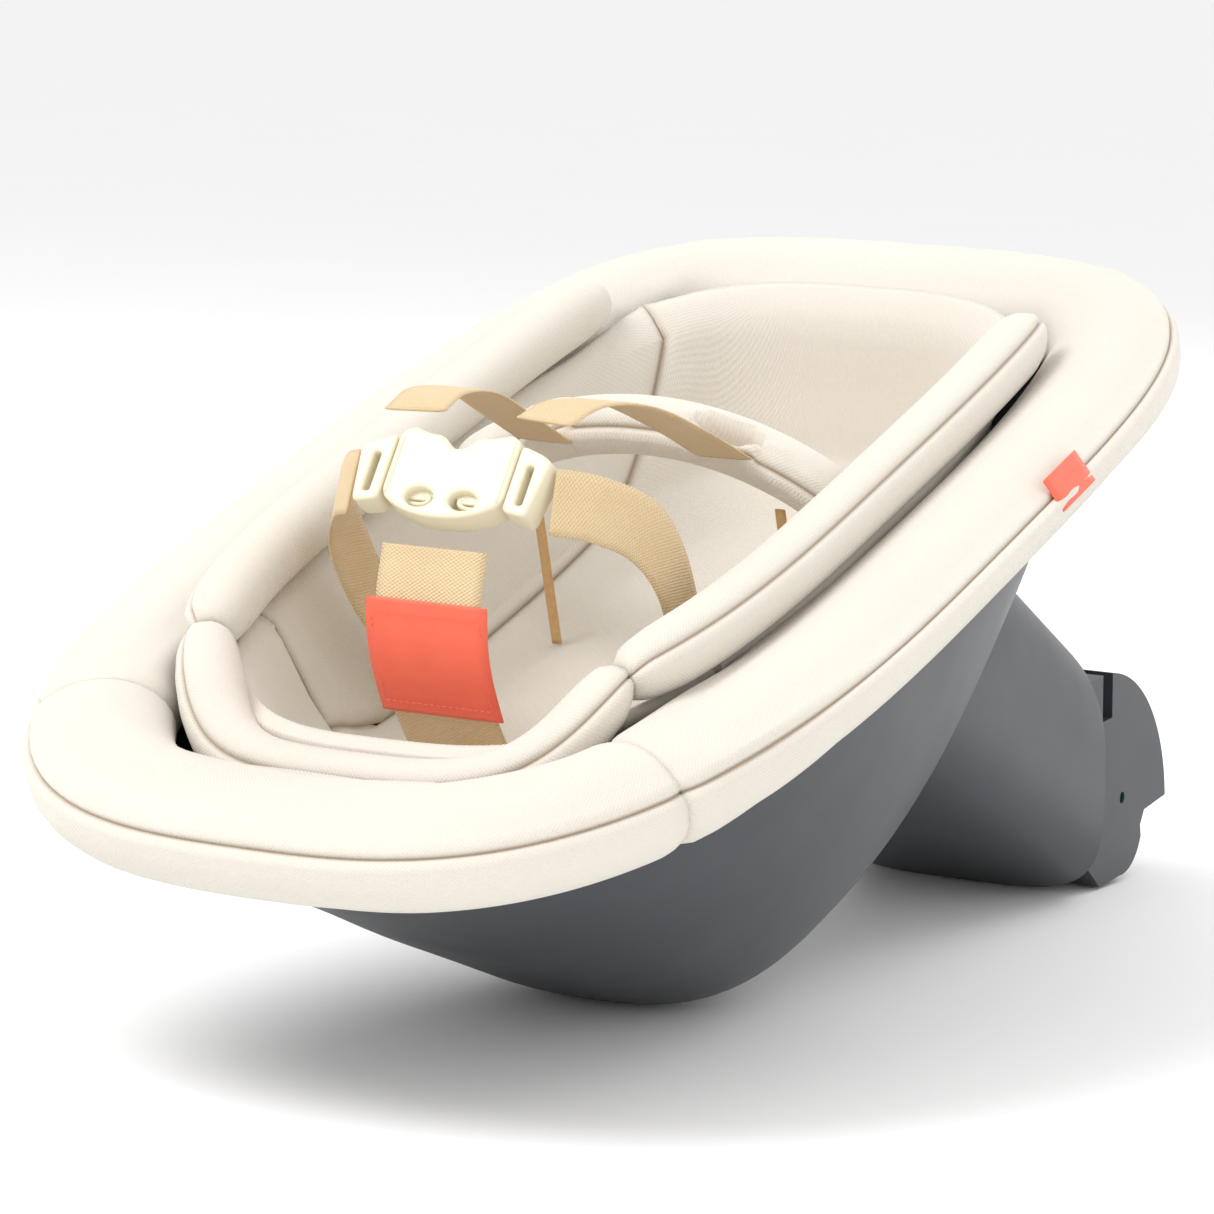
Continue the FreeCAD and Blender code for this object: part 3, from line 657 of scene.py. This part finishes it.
def with_lip(x, y, edge_rows):
    """Rows past the top edge that turn outwards towards the rim pad."""
    foot = 1 - smooth_step(y, -205, -160)
    head = smooth_step(y, 150, 215)
    out = 9 - 1 * foot + 9 * head
    rise = 6 - 8 * foot + 6 * head
    outward_x = np.sign(x) * np.abs(x / 112) ** 2.1 / 112
    outward_y = np.sign(y - 17) * np.abs((y - 17) / 224) ** 2.1 / 224
    size = np.hypot(outward_x, outward_y)
    lips = []
    for share in edge_rows:
        bend = math.sin(share * math.pi / 2)
        lips.append((x + outward_x / size * out * share, y + outward_y / size * out * share,
                     LINER_TOP + rise * bend))
    return lips


def seam_push(x, y, seams):
    """Groove at the sewn edges, and how brown the cloth is there."""
    push = np.zeros_like(x)
    darkening = np.zeros_like(x)
    for gap in seams:
        gap = np.abs(gap)
        push += -2.2 * np.exp(-(gap / 1.6) ** 2) + 1.3 * np.exp(-((gap - 9) / 7.5) ** 2)
        darkening = np.maximum(darkening, np.exp(-(gap / 0.9) ** 2))
        along = x * 0.9 + y
        ripple = np.sin(along / 4.1) * np.sin(along / 9.3)
        push += 0.35 * ripple * np.exp(-((gap - 8) / 7) ** 2)
    return push, darkening


EDGE_STEPS = np.array([0, 0.4, 0.9, 1.6, 2.6, 4, 6, 8.5])


def steps_between(low, high, spacing):
    """Places from low to high, closer together at both ends, where the seams are."""
    middle = np.linspace(low + 11, high - 11, max(4, int((high - low - 22) / spacing)))
    return np.concatenate([low + EDGE_STEPS, middle, (high - EDGE_STEPS)[::-1]])


def liner_piece(name, x, y, seams, nodes, flip):
    """One panel of the liner from a grid of places in the rim plane, with its lip."""
    z = liner_height(x, y)
    push, darkening = seam_push(x, y, [seam(x, y) for seam in seams])
    crown = 1.6 * np.sin(np.linspace(0, math.pi, x.shape[0]))[:, None]
    crown = crown * np.sin(np.linspace(0, math.pi, x.shape[1]))[None, :]
    soft = 0.5 * np.sin(x / 23.0 + 1.3) * np.sin(y / 31.0) + 0.35 * np.sin((x + y) / 17.0)
    along = np.gradient(np.stack([x, y, z], -1), axis=0)
    across = np.gradient(np.stack([x, y, z], -1), axis=1)
    normal = np.cross(along, across)
    normal /= np.maximum(np.linalg.norm(normal, axis=2, keepdims=True), 1e-6)
    normal *= np.where(normal[..., 2:] < 0, -1, 1)
    points = np.stack([x, y, z], -1) + normal * (push + crown + soft * 0.6)[..., None]
    lips = with_lip(points[-1, :, 0], points[-1, :, 1], (0.25, 0.5, 0.75, 1.0))
    rows = [points] + [np.stack([a, b, c + (points[-1, :, 2] - LINER_TOP) * (1 - k / 4)], -1)[None]
                       for k, (a, b, c) in enumerate(lips, start=1)]
    grid = np.concatenate(rows)
    stains = np.concatenate([darkening, np.repeat(darkening[-1:] * 0.5, len(lips), axis=0)])
    count, width = grid.shape[:2]
    faces = []
    weave = []
    for row in range(count - 1):
        for step in range(width - 1):
            here = row * width + step
            corners = [here, here + 1, here + width + 1, here + width]
            if flip:
                corners.reverse()
            faces.append(tuple(corners))
            weave.append([tuple(grid.reshape(-1, 3)[c][[0, 1]]) for c in corners])
    for corners in weave:
        for index, (u, v) in enumerate(corners):
            corners[index] = (u * 1.15, v)
    piece = smooth_object(name, grid.reshape(-1, 3), faces, weave, stains.reshape(-1), COVER)
    thick = piece.modifiers.new("padding", "SOLIDIFY")
    thick.thickness = LINER_SKIN * MM
    thick.offset = -1
    finish_soft(piece, nodes)
    return piece


def liner():
    """Four panels; the corner seams of the head wall run down to the floor valleys."""
    across = steps_between(-VALLEY, VALLEY, 4.0)
    share = np.linspace(0, 1, 110)[:, None]
    top = liner_edge_y(across, 1)[None, :]
    x = np.repeat(across[None, :], len(share), axis=0)
    y = FOOT_SEAM + (top - FOOT_SEAM) * share
    liner_piece("liner_cover_seat", x, y,
                [lambda a, b: VALLEY - np.abs(a), lambda a, b: b - FOOT_SEAM], "liner_seat", False)
    corner = 17.5 + 223.5 * (1 - (VALLEY / 112) ** LINER_POWER) ** (1 / LINER_POWER)
    along = steps_between(FOOT_SEAM, corner - 0.5, 4.0)
    out = np.linspace(0, 1, 40) ** 1.25
    for side, name, node in ((1, "liner_cover_right", "liner_right"),
                             (-1, "liner_cover_left", "liner_left")):
        edge = liner_edge_x(along)[None, :]
        x = side * (VALLEY + (edge - VALLEY) * out[:, None])
        y = np.repeat(along[None, :], len(out), axis=0)
        liner_piece(name, x, y,
                    [lambda a, b: np.abs(a) - VALLEY, lambda a, b: b - FOOT_SEAM], node, side > 0)
    wide = float(liner_edge_x(np.array([FOOT_SEAM], float))[0])
    across = np.linspace(-wide + 0.5, wide - 0.5, 90)
    down = np.concatenate([EDGE_STEPS / 90, np.linspace(0.12, 1, 44)])[:, None]
    low = liner_edge_y(across, -1)[None, :]
    x = np.repeat(across[None, :], len(down), axis=0)
    y = FOOT_SEAM + (np.minimum(low, FOOT_SEAM - 1) - FOOT_SEAM) * down
    liner_piece("liner_cover_foot", x, y, [lambda a, b: b - FOOT_SEAM], "liner_foot", True)


# ---------------------------------------------------------------- shoulder roll

ARCH_HALF = 93
ARCH_PLACE = 36
ARCH_LOW = 8
ARCH_CROWN = 38
ARCH_AROUND = 20
SLOT_PLACES = (-45, 45)


def arch_frame(share):
    """Place and in-plane normal on the circular arch, share -1 (left) to 1 (right)."""
    rise = ARCH_CROWN - ARCH_LOW
    radius = (ARCH_HALF ** 2 + rise ** 2) / (2 * rise)
    turn = share * math.asin(ARCH_HALF / radius)
    x = radius * math.sin(turn)
    z = ARCH_CROWN - radius * (1 - math.cos(turn))
    return x, z, math.sin(turn), math.cos(turn)


def shoulder_roll():
    rings = []
    count = 74
    for index in range(count):
        share = -1 + 2 * index / (count - 1)
        x, z, out_x, out_z = arch_frame(share)
        from_end = min(index, count - 1 - index) / 4
        size = 13.3 * (0.72 + 0.28 * math.sqrt(1 - (1 - min(from_end, 1)) ** 2))
        ring = []
        for step in range(ARCH_AROUND):
            turn = 2 * math.pi * step / ARCH_AROUND
            lift = size * math.sin(turn)
            ring.append((x + out_x * lift, ARCH_PLACE - size * math.cos(turn), z + out_z * lift))
        rings.append(ring)
    piece = padded_tube("shoulder_cover", np.array(rings, float), [1, 11], False, 1.4, 1.6, 0.22,
                        run_times=2, per_step=2)
    press_slots(piece)
    finish_soft(piece, "shoulder_roll")


def press_slots(piece):
    """Lens-shaped strap slots with a rolled lip, pressed into the top of the roll, with painted shade
    inside them.
    """
    darkening = piece.data.attributes["seam"].data
    back = SEAT.inverted()
    for index, vertex in enumerate(piece.data.vertices):
        point = (back @ vertex.co) / MM
        for middle in SLOT_PLACES:
            if point.z < 26 or point.y > 44:
                continue
            along = (point.x - middle) / 18.5
            across = (point.y - 29) / (4.6 * math.sqrt(max(0.05, 1 - min(along ** 2, 0.95))))
            reach = math.hypot(along, across)
            if reach < 1.0:
                depth = 9.0 * (1 - reach ** 4)
                point.z -= depth
                # Painted shade inside the slot, written into the seam attribute: darkest where the slot
                # is deepest.
                darkening[index].value = max(darkening[index].value, 0.85 * (1 - reach ** 3))
            elif reach < 1.9:
                point.z += 1.7 * math.sin(math.pi * (reach - 1.0) / 0.9)
        vertex.co = SEAT @ (point * MM)


# ---------------------------------------------------------------- webbing


def smooth_route(route, parts):
    """Cubic line through (place, width direction) pairs."""
    places = np.array([r[0] for r in route], float)
    sides = np.array([r[1] for r in route], float)
    return refined_run(places, parts), refined_run(sides, parts)


def webbing(name, route, width, thickness, material, parts=14, columns=9, stitches=()):
    """A flat strap with rounded edges along a smooth route."""
    places, sides = smooth_route(route, parts)
    runs = np.gradient(places, axis=0)
    runs /= np.linalg.norm(runs, axis=1, keepdims=True)
    travelled = lengths(places, False)
    across = np.linspace(-1, 1, columns)
    rings = []
    for index, place in enumerate(places):
        side = sides[index] - runs[index] * np.dot(sides[index], runs[index])
        side /= np.linalg.norm(side)
        face = np.cross(runs[index], side)
        dimple = sum(0.45 * math.exp(-((travelled[index] - at) / 1.0) ** 2) for at in stitches)
        ring = []
        for edge, sign in ((across, 1), (across[::-1], -1)):
            for share in edge:
                half = thickness / 2 * (1 - 0.55 * abs(share) ** 10) - dimple * (abs(share) < 0.9)
                ring.append(place + side * (share * width / 2) + face * (sign * max(half, 0.2)))
        rings.append(ring)
    grid = np.array(rings)
    around = grid.shape[1]
    arc = np.concatenate([across * width / 2, across[::-1] * width / 2, [-width / 2]])
    faces, weave = tube_faces(len(grid), around, False, arc, travelled)
    for ring, forward in ((0, False), (len(grid) - 1, True)):
        corners = tuple(range(ring * around, (ring + 1) * around))
        faces.append(corners if forward else corners[::-1])
        weave.append([(0, 0)] * around)
    darkening = np.zeros(grid.shape[:2])
    for at in stitches:
        darkening = np.maximum(darkening, 0.5 * np.exp(-((travelled - at) / 0.8) ** 2)[:, None])
    return smooth_object(name, grid.reshape(-1, 3), faces, weave, darkening.reshape(-1), material)


def finish_strap(piece, node):
    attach(piece, "seat")
    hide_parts(node)


def strap_to_plug(piece, node):
    """A strap baked into world space, with its CAD node hidden."""
    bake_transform(piece)
    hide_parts(node)


ACROSS = (1, 0, 0)
WEBBING_WIDTH = 28
WEBBING_THICKNESS = 1.6
STRAP_SECTION = (WEBBING_WIDTH, WEBBING_THICKNESS)
CROTCH_WIDTH = 50
ELASTIC_WIDTH = 5
BAND_THICKNESS = 1.2


def elastic_bands():
    """Two narrow elastic bands between the liner and the shoulder roll."""
    for side, word in ((-1, "left"), (1, "right")):
        route = [((side * 62, 36, z), ACROSS) for z in (-76, -50, -24, 3)]
        band = webbing(f"elastic_band_{word}", route, ELASTIC_WIDTH, BAND_THICKNESS, ELASTIC, 10, 7)
        finish_strap(band, "elastic_loops")


def harness():
    crotch = [((0, -134, -69), ACROSS), ((0, -150, -30), ACROSS), ((0, -160, 5), ACROSS),
              ((0, -158, 38), ACROSS), ((0, -146, 61), ACROSS)]
    broad = webbing("crotch_webbing", crotch, CROTCH_WIDTH, WEBBING_THICKNESS, WEBBING,
                    22, 11, (104, 110))
    finish_strap(broad, "crotch_strap")
    edge = (0, 0.62, 0.78)
    for side, word in ((-1, "left"), (1, "right")):
        over = [((side * 45, 22, 33), ACROSS), ((side * 43, -9, 59), ACROSS),
                ((side * 38, -42, 84), ACROSS), ((side * 34, -74, 98), ACROSS),
                ((side * 31, -98, 100), ACROSS)]
        strap_to_plug(webbing(f"shoulder_webbing_{word}", over, *STRAP_SECTION, WEBBING, 16),
                      f"shoulder_strap_{word}")
        waist = [((side * 48, -127, 78), edge), ((side * 62, -115, 70), edge),
                 ((side * 74, -102, 56), edge), ((side * 79, -93, 34), (0, 0.85, 0.5)),
                 ((side * 77, -84, 4), (0, 1, 0.2)), ((side * 69, -68, -34), (0, 1, 0)),
                 ((side * 60, -50, -71), (0, 1, 0))]
        strap_to_plug(webbing(f"waist_webbing_{word}", waist, *STRAP_SECTION, WEBBING, 14),
                      f"waist_strap_{word}")


# Places along one stitch: distance from its start, rise, half width.
STITCH_SECTIONS = ((0, 0.05, 0.30), (0.5, 0.34, 0.34), (1.5, 0.34, 0.34), (2.0, 0.05, 0.30))


def stitch_row(name, corners, offset, placed):
    """Short thread stitches along a closed outline, each a small rounded ridge."""
    points = []
    faces = []
    for start, end in zip(corners, corners[1:] + corners[:1]):
        start = np.array(start, float)
        end = np.array(end, float)
        span = np.linalg.norm(end - start)
        run = (end - start) / span
        side = np.cross(run, offset)
        for at in np.arange(1.5, span - 1.5, 3.0):
            first = len(points)
            for along, rise, wide in STITCH_SECTIONS:
                middle = start + run * (at + along)
                points.append(middle + side * wide)
                points.append(middle + np.array(offset) * rise)
                points.append(middle - side * wide)
            for part in range(3):
                low = first + part * 3
                faces.append((low, low + 1, low + 4, low + 3))
                faces.append((low + 1, low + 2, low + 5, low + 4))
    weave = [[(0, 0)] * 4 for _ in faces]
    return smooth_object(name, points, faces, weave, [0.0] * len(points), LABEL, placed)


LABEL_WIDTH = 58
TAB_WIDTH = 34
TAB_SLOPE = 58
TAB_OUT = 180
TAB_MIDDLE = 75
TAB_HEIGHT = 18


def labels():
    """Coral labels without lettering: one on the crotch strap, one in the rim seam."""
    lift = 1.6
    face = [((0, -157 - lift, -10), ACROSS), ((0, -160.5 - lift, 10), ACROSS),
            ((0, -160.5 - lift, 26), ACROSS), ((0, -157 - lift, 42), ACROSS)]
    label = webbing("crotch_label_cloth", face, LABEL_WIDTH, BAND_THICKNESS, LABEL, 12, 11)
    finish_strap(label, "crotch_label")
    border = stitch_row("crotch_label_stitches",
                        [(-26, -161.9, -4), (26, -161.9, -4), (26, -161.9, 36), (-26, -161.9, 36)],
                        (0, -1, 0), SEAT)
    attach(border, "seat")
    tilt = math.radians(TAB_SLOPE)
    slope = (math.cos(tilt), 0, -math.sin(tilt))
    base = (TAB_OUT, TAB_MIDDLE, TAB_HEIGHT)
    route = []
    for along in (0, 5, 11, 16):
        route.append(((base[0] + slope[0] * along, base[1], base[2] + slope[2] * along), (0, 1, 0)))
    tab = webbing("rim_tab_cloth", route, TAB_WIDTH, BAND_THICKNESS, LABEL, 8, 9)
    finish_strap(tab, "rim_tab")


# ---------------------------------------------------------------- buckle

BUCKLE = SEAT @ Matrix.Translation((0, -0.125, 0.080)) @ Matrix.Rotation(math.radians(38), 4, "X")
BUCKLE_FACE = 6.9
TONGUE_FACE = 2.9
PLUG_OUTLINE = [(29.6, -12.6), (41.5, -14.6), (45.6, 11.6), (41, 14.6), (29.6, 18.4)]
BAR_SLOT = [(35, -9), (38.2, -9), (38.2, 9), (35, 9)]
TONGUE_OUTLINE = [
    (30, -9.6), (8, -9.6), (3, -6), (14, -3), (20, -1),
    (20, 3), (14, 5), (3, 8), (7, 11.6), (30, 11.6),
]
SPRING_CURL = [
    (22, -9, 0.5), (15, -11.4, 1.5), (8.5, -11.2, 2.2),
    (6.4, -8.4, 2.4), (9, -6.6, 2.2), (11.6, -8.4, 1.8),
]


def rounded(corners, radius, parts=5):
    """An outline with its corners rounded, as a list of points."""
    points = []
    count = len(corners)
    for index, corner in enumerate(corners):
        here = np.array(corner, float)
        before = np.array(corners[index - 1], float) - here
        after = np.array(corners[(index + 1) % count], float) - here
        reach = min(radius, 0.45 * np.linalg.norm(before), 0.45 * np.linalg.norm(after))
        first = here + before / np.linalg.norm(before) * reach
        last = here + after / np.linalg.norm(after) * reach
        for part in range(parts + 1):
            t = part / parts
            points.append(tuple(first * (1 - t) ** 2 + here * 2 * t * (1 - t) + last * t ** 2))
    return points


def moulded(name, outlines, low, high, edge, placed, body, material):
    """A moulded plate with rounded edges; outlines after the first are holes in it."""
    data = bpy.data.curves.new(name, "CURVE")
    data.dimensions = "2D"
    data.fill_mode = "BOTH"
    data.extrude = ((high - low) / 2 - edge) * MM
    data.bevel_depth = edge * MM
    data.bevel_resolution = 3
    data.offset = -edge * MM
    for outline in outlines:
        spline = data.splines.new("POLY")
        spline.points.add(len(outline) - 1)
        for point, (x, y) in zip(spline.points, outline):
            point.co = (x * MM, y * MM, 0, 1)
        spline.use_cyclic_u = True
    curve = bpy.data.objects.new(name + "_outline", data)
    bpy.context.scene.collection.objects.link(curve)
    bpy.context.view_layer.update()
    mesh = bpy.data.meshes.new_from_object(curve.evaluated_get(bpy.context.evaluated_depsgraph_get()))
    bpy.data.objects.remove(curve, do_unlink=True)
    mesh.transform(placed @ Matrix.Translation((0, 0, (low + high) / 2 * MM)))
    mesh.materials.clear()
    mesh.materials.append(material)
    piece = bpy.data.objects.new(name, mesh)
    bpy.context.scene.collection.objects.link(piece)
    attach(piece, body)
    return piece


def wire_piece(name, route, radius, placed, body, material):
    """A rounded bar along a smooth line of points."""
    data = bpy.data.curves.new(name, "CURVE")
    data.dimensions = "3D"
    data.bevel_depth = radius * MM
    data.bevel_resolution = 4
    data.use_fill_caps = True
    spline = data.splines.new("NURBS")
    spline.points.add(len(route) - 1)
    for point, place in zip(spline.points, route):
        point.co = (*(placed @ (Vector(place) * MM)), 1)
    spline.order_u = 3
    spline.use_endpoint_u = True
    data.materials.append(material)
    piece = bpy.data.objects.new(name, data)
    bpy.context.scene.collection.objects.link(piece)
    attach(piece, body)
    return piece


def oval_hole(x, y, wide, high):
    turns = np.linspace(0, 2 * math.pi, 24, False)
    return [(x + wide * math.cos(turn), y + high * math.sin(turn)) for turn in turns]


def buckle():
    """Side-release buckle: lobed body with two windows, and a plug on each side."""
    outline = rounded([
        (29, -10), (29, 19), (24, 22.6), (15, 20), (8, 19.6), (3.5, 14), (-3.5, 14), (-8, 19.6),
        (-15, 20), (-24, 22.6), (-29, 19), (-29, -10), (-18, -16), (-7, -18.4), (7, -18.4), (18, -16),
    ], 5.0)
    windows = [oval_hole(side * 10.5, -9.6, 6.6, 4.4)[::-1] for side in (-1, 1)]
    body = moulded("buckle_shell", [outline, *windows], -BUCKLE_FACE, BUCKLE_FACE, 1.7, BUCKLE,
                   "seat", BUCKLE_PLASTIC)
    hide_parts("buckle_body")
    for side, word in ((-1, "left"), (1, "right")):
        body_name = f"prong_{word}"
        shape = rounded([(side * x, y) for x, y in PLUG_OUTLINE], 3.4)
        bar_slot = rounded([(side * x, y) for x, y in BAR_SLOT], 1.3)
        if side < 0:
            shape.reverse()
        else:
            bar_slot.reverse()
        plug = moulded(f"buckle_plug_{word}", [shape, bar_slot], -BUCKLE_FACE, BUCKLE_FACE, 1.6,
                       BUCKLE, body_name, BUCKLE_PLASTIC)
        tongue = rounded([(side * x, y) for x, y in TONGUE_OUTLINE], 2.0)
        moulded(f"buckle_tongue_{word}", [tongue], -TONGUE_FACE, TONGUE_FACE, 0.7, BUCKLE, body_name,
                BUCKLE_PLASTIC)
        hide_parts(f"buckle_prong_{word}")
        curl = [(side * x, y, z) for x, y, z in SPRING_CURL]
        wire_piece(f"buckle_spring_{word}", curl, 1.15, BUCKLE, body_name, BUCKLE_PLASTIC)
        ridge = [(side * 26.4, y, BUCKLE_FACE - 0.2) for y in (-9, 0, 8, 17)]
        wire_piece(f"buckle_ridge_{word}", ridge, 0.8, BUCKLE, "seat", BUCKLE_PLASTIC)


# ---------------------------------------------------------------- build

padded_rim()
padded_rolls()
liner()
shoulder_roll()
harness()
elastic_bands()
labels()
buckle()


# ---------------------------------------------------------------- materials of CAD nodes

CAD_MATERIALS = {
    "seat_shell": SHELL,
    "neck_housing": SHELL,
    "neck_bulkhead": SHELL,
    "coupling_body": SHELL,
    "rim_frame": STEEL,
    "coupling_screws": STEEL,
    "latch_bolt": LATCH,
    "release_button": LATCH,
    "lock_indicator": GREEN,
}
for node, material in CAD_MATERIALS.items():
    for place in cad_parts[node].material_slots:
        place.material = material


# ---------------------------------------------------------------- stage, light and camera


FLOOR_REACH = 200.0
FLOOR_DROP = 0.0005


def stage():
    mesh = bpy.data.meshes.new("floor")
    corners = [(x * FLOOR_REACH, y * FLOOR_REACH, 0) for x, y in ((-1, -1), (1, -1), (1, 1), (-1, 1))]
    mesh.from_pydata(corners, [], [(0, 1, 2, 3)])
    mesh.materials.append(floor_material())
    floor = bpy.data.objects.new("floor", mesh)
    bpy.context.scene.collection.objects.link(floor)
    floor.location.z = cad_low.z - FLOOR_DROP


def soft_light(name, place, target, size, power):
    data = bpy.data.lights.new(name, "AREA")
    data.shape = "DISK"
    data.size = size
    data.energy = power
    light = bpy.data.objects.new(name, data)
    light.location = place
    direction = Vector(target) - Vector(place)
    light.rotation_euler = direction.to_track_quat("-Z", "Y").to_euler()
    bpy.context.scene.collection.objects.link(light)


def studio():
    middle = (0, 0, 0.15)
    soft_light("key", (-1.1, -1.5, 2.3), middle, 1.6, 46)
    soft_light("fill", (2.4, -1.4, 1.0), middle, 2.4, 14)
    soft_light("back", (0.6, 2.6, 2.0), middle, 2.0, 30)
    world = bpy.data.worlds.new("studio")
    world.use_nodes = True
    background = world.node_tree.nodes["Background"]
    background.inputs["Color"].default_value = (1, 1, 1, 1)
    background.inputs["Strength"].default_value = 0.95
    bpy.context.scene.world = world
    bpy.context.scene.view_settings.view_transform = "Standard"


LENS = 152.84
SENSOR = 36
LENS_SHIFT = (-0.0610, -0.1367)
VIEW_PLACE = (1.0731, -2.0622, 0.4685)
VIEW_RIGHT = (0.88130, 0.47075, 0.04119)
VIEW_UP = (-0.08206, 0.06662, 0.99440)
VIEW_BACK = (0.46537, -0.87974, 0.09734)


def camera():
    """Long lens a little above the rim, on the seat's right side at the foot end."""
    data = bpy.data.cameras.new("camera")
    data.lens = LENS
    data.sensor_width = SENSOR
    data.shift_x, data.shift_y = LENS_SHIFT
    viewer = bpy.data.objects.new("camera", data)
    turn = Matrix((VIEW_RIGHT, VIEW_UP, VIEW_BACK)).transposed().to_4x4()
    viewer.matrix_world = Matrix.Translation(VIEW_PLACE) @ turn
    bpy.context.scene.collection.objects.link(viewer)
    bpy.context.scene.camera = viewer


stage()
studio()
camera()
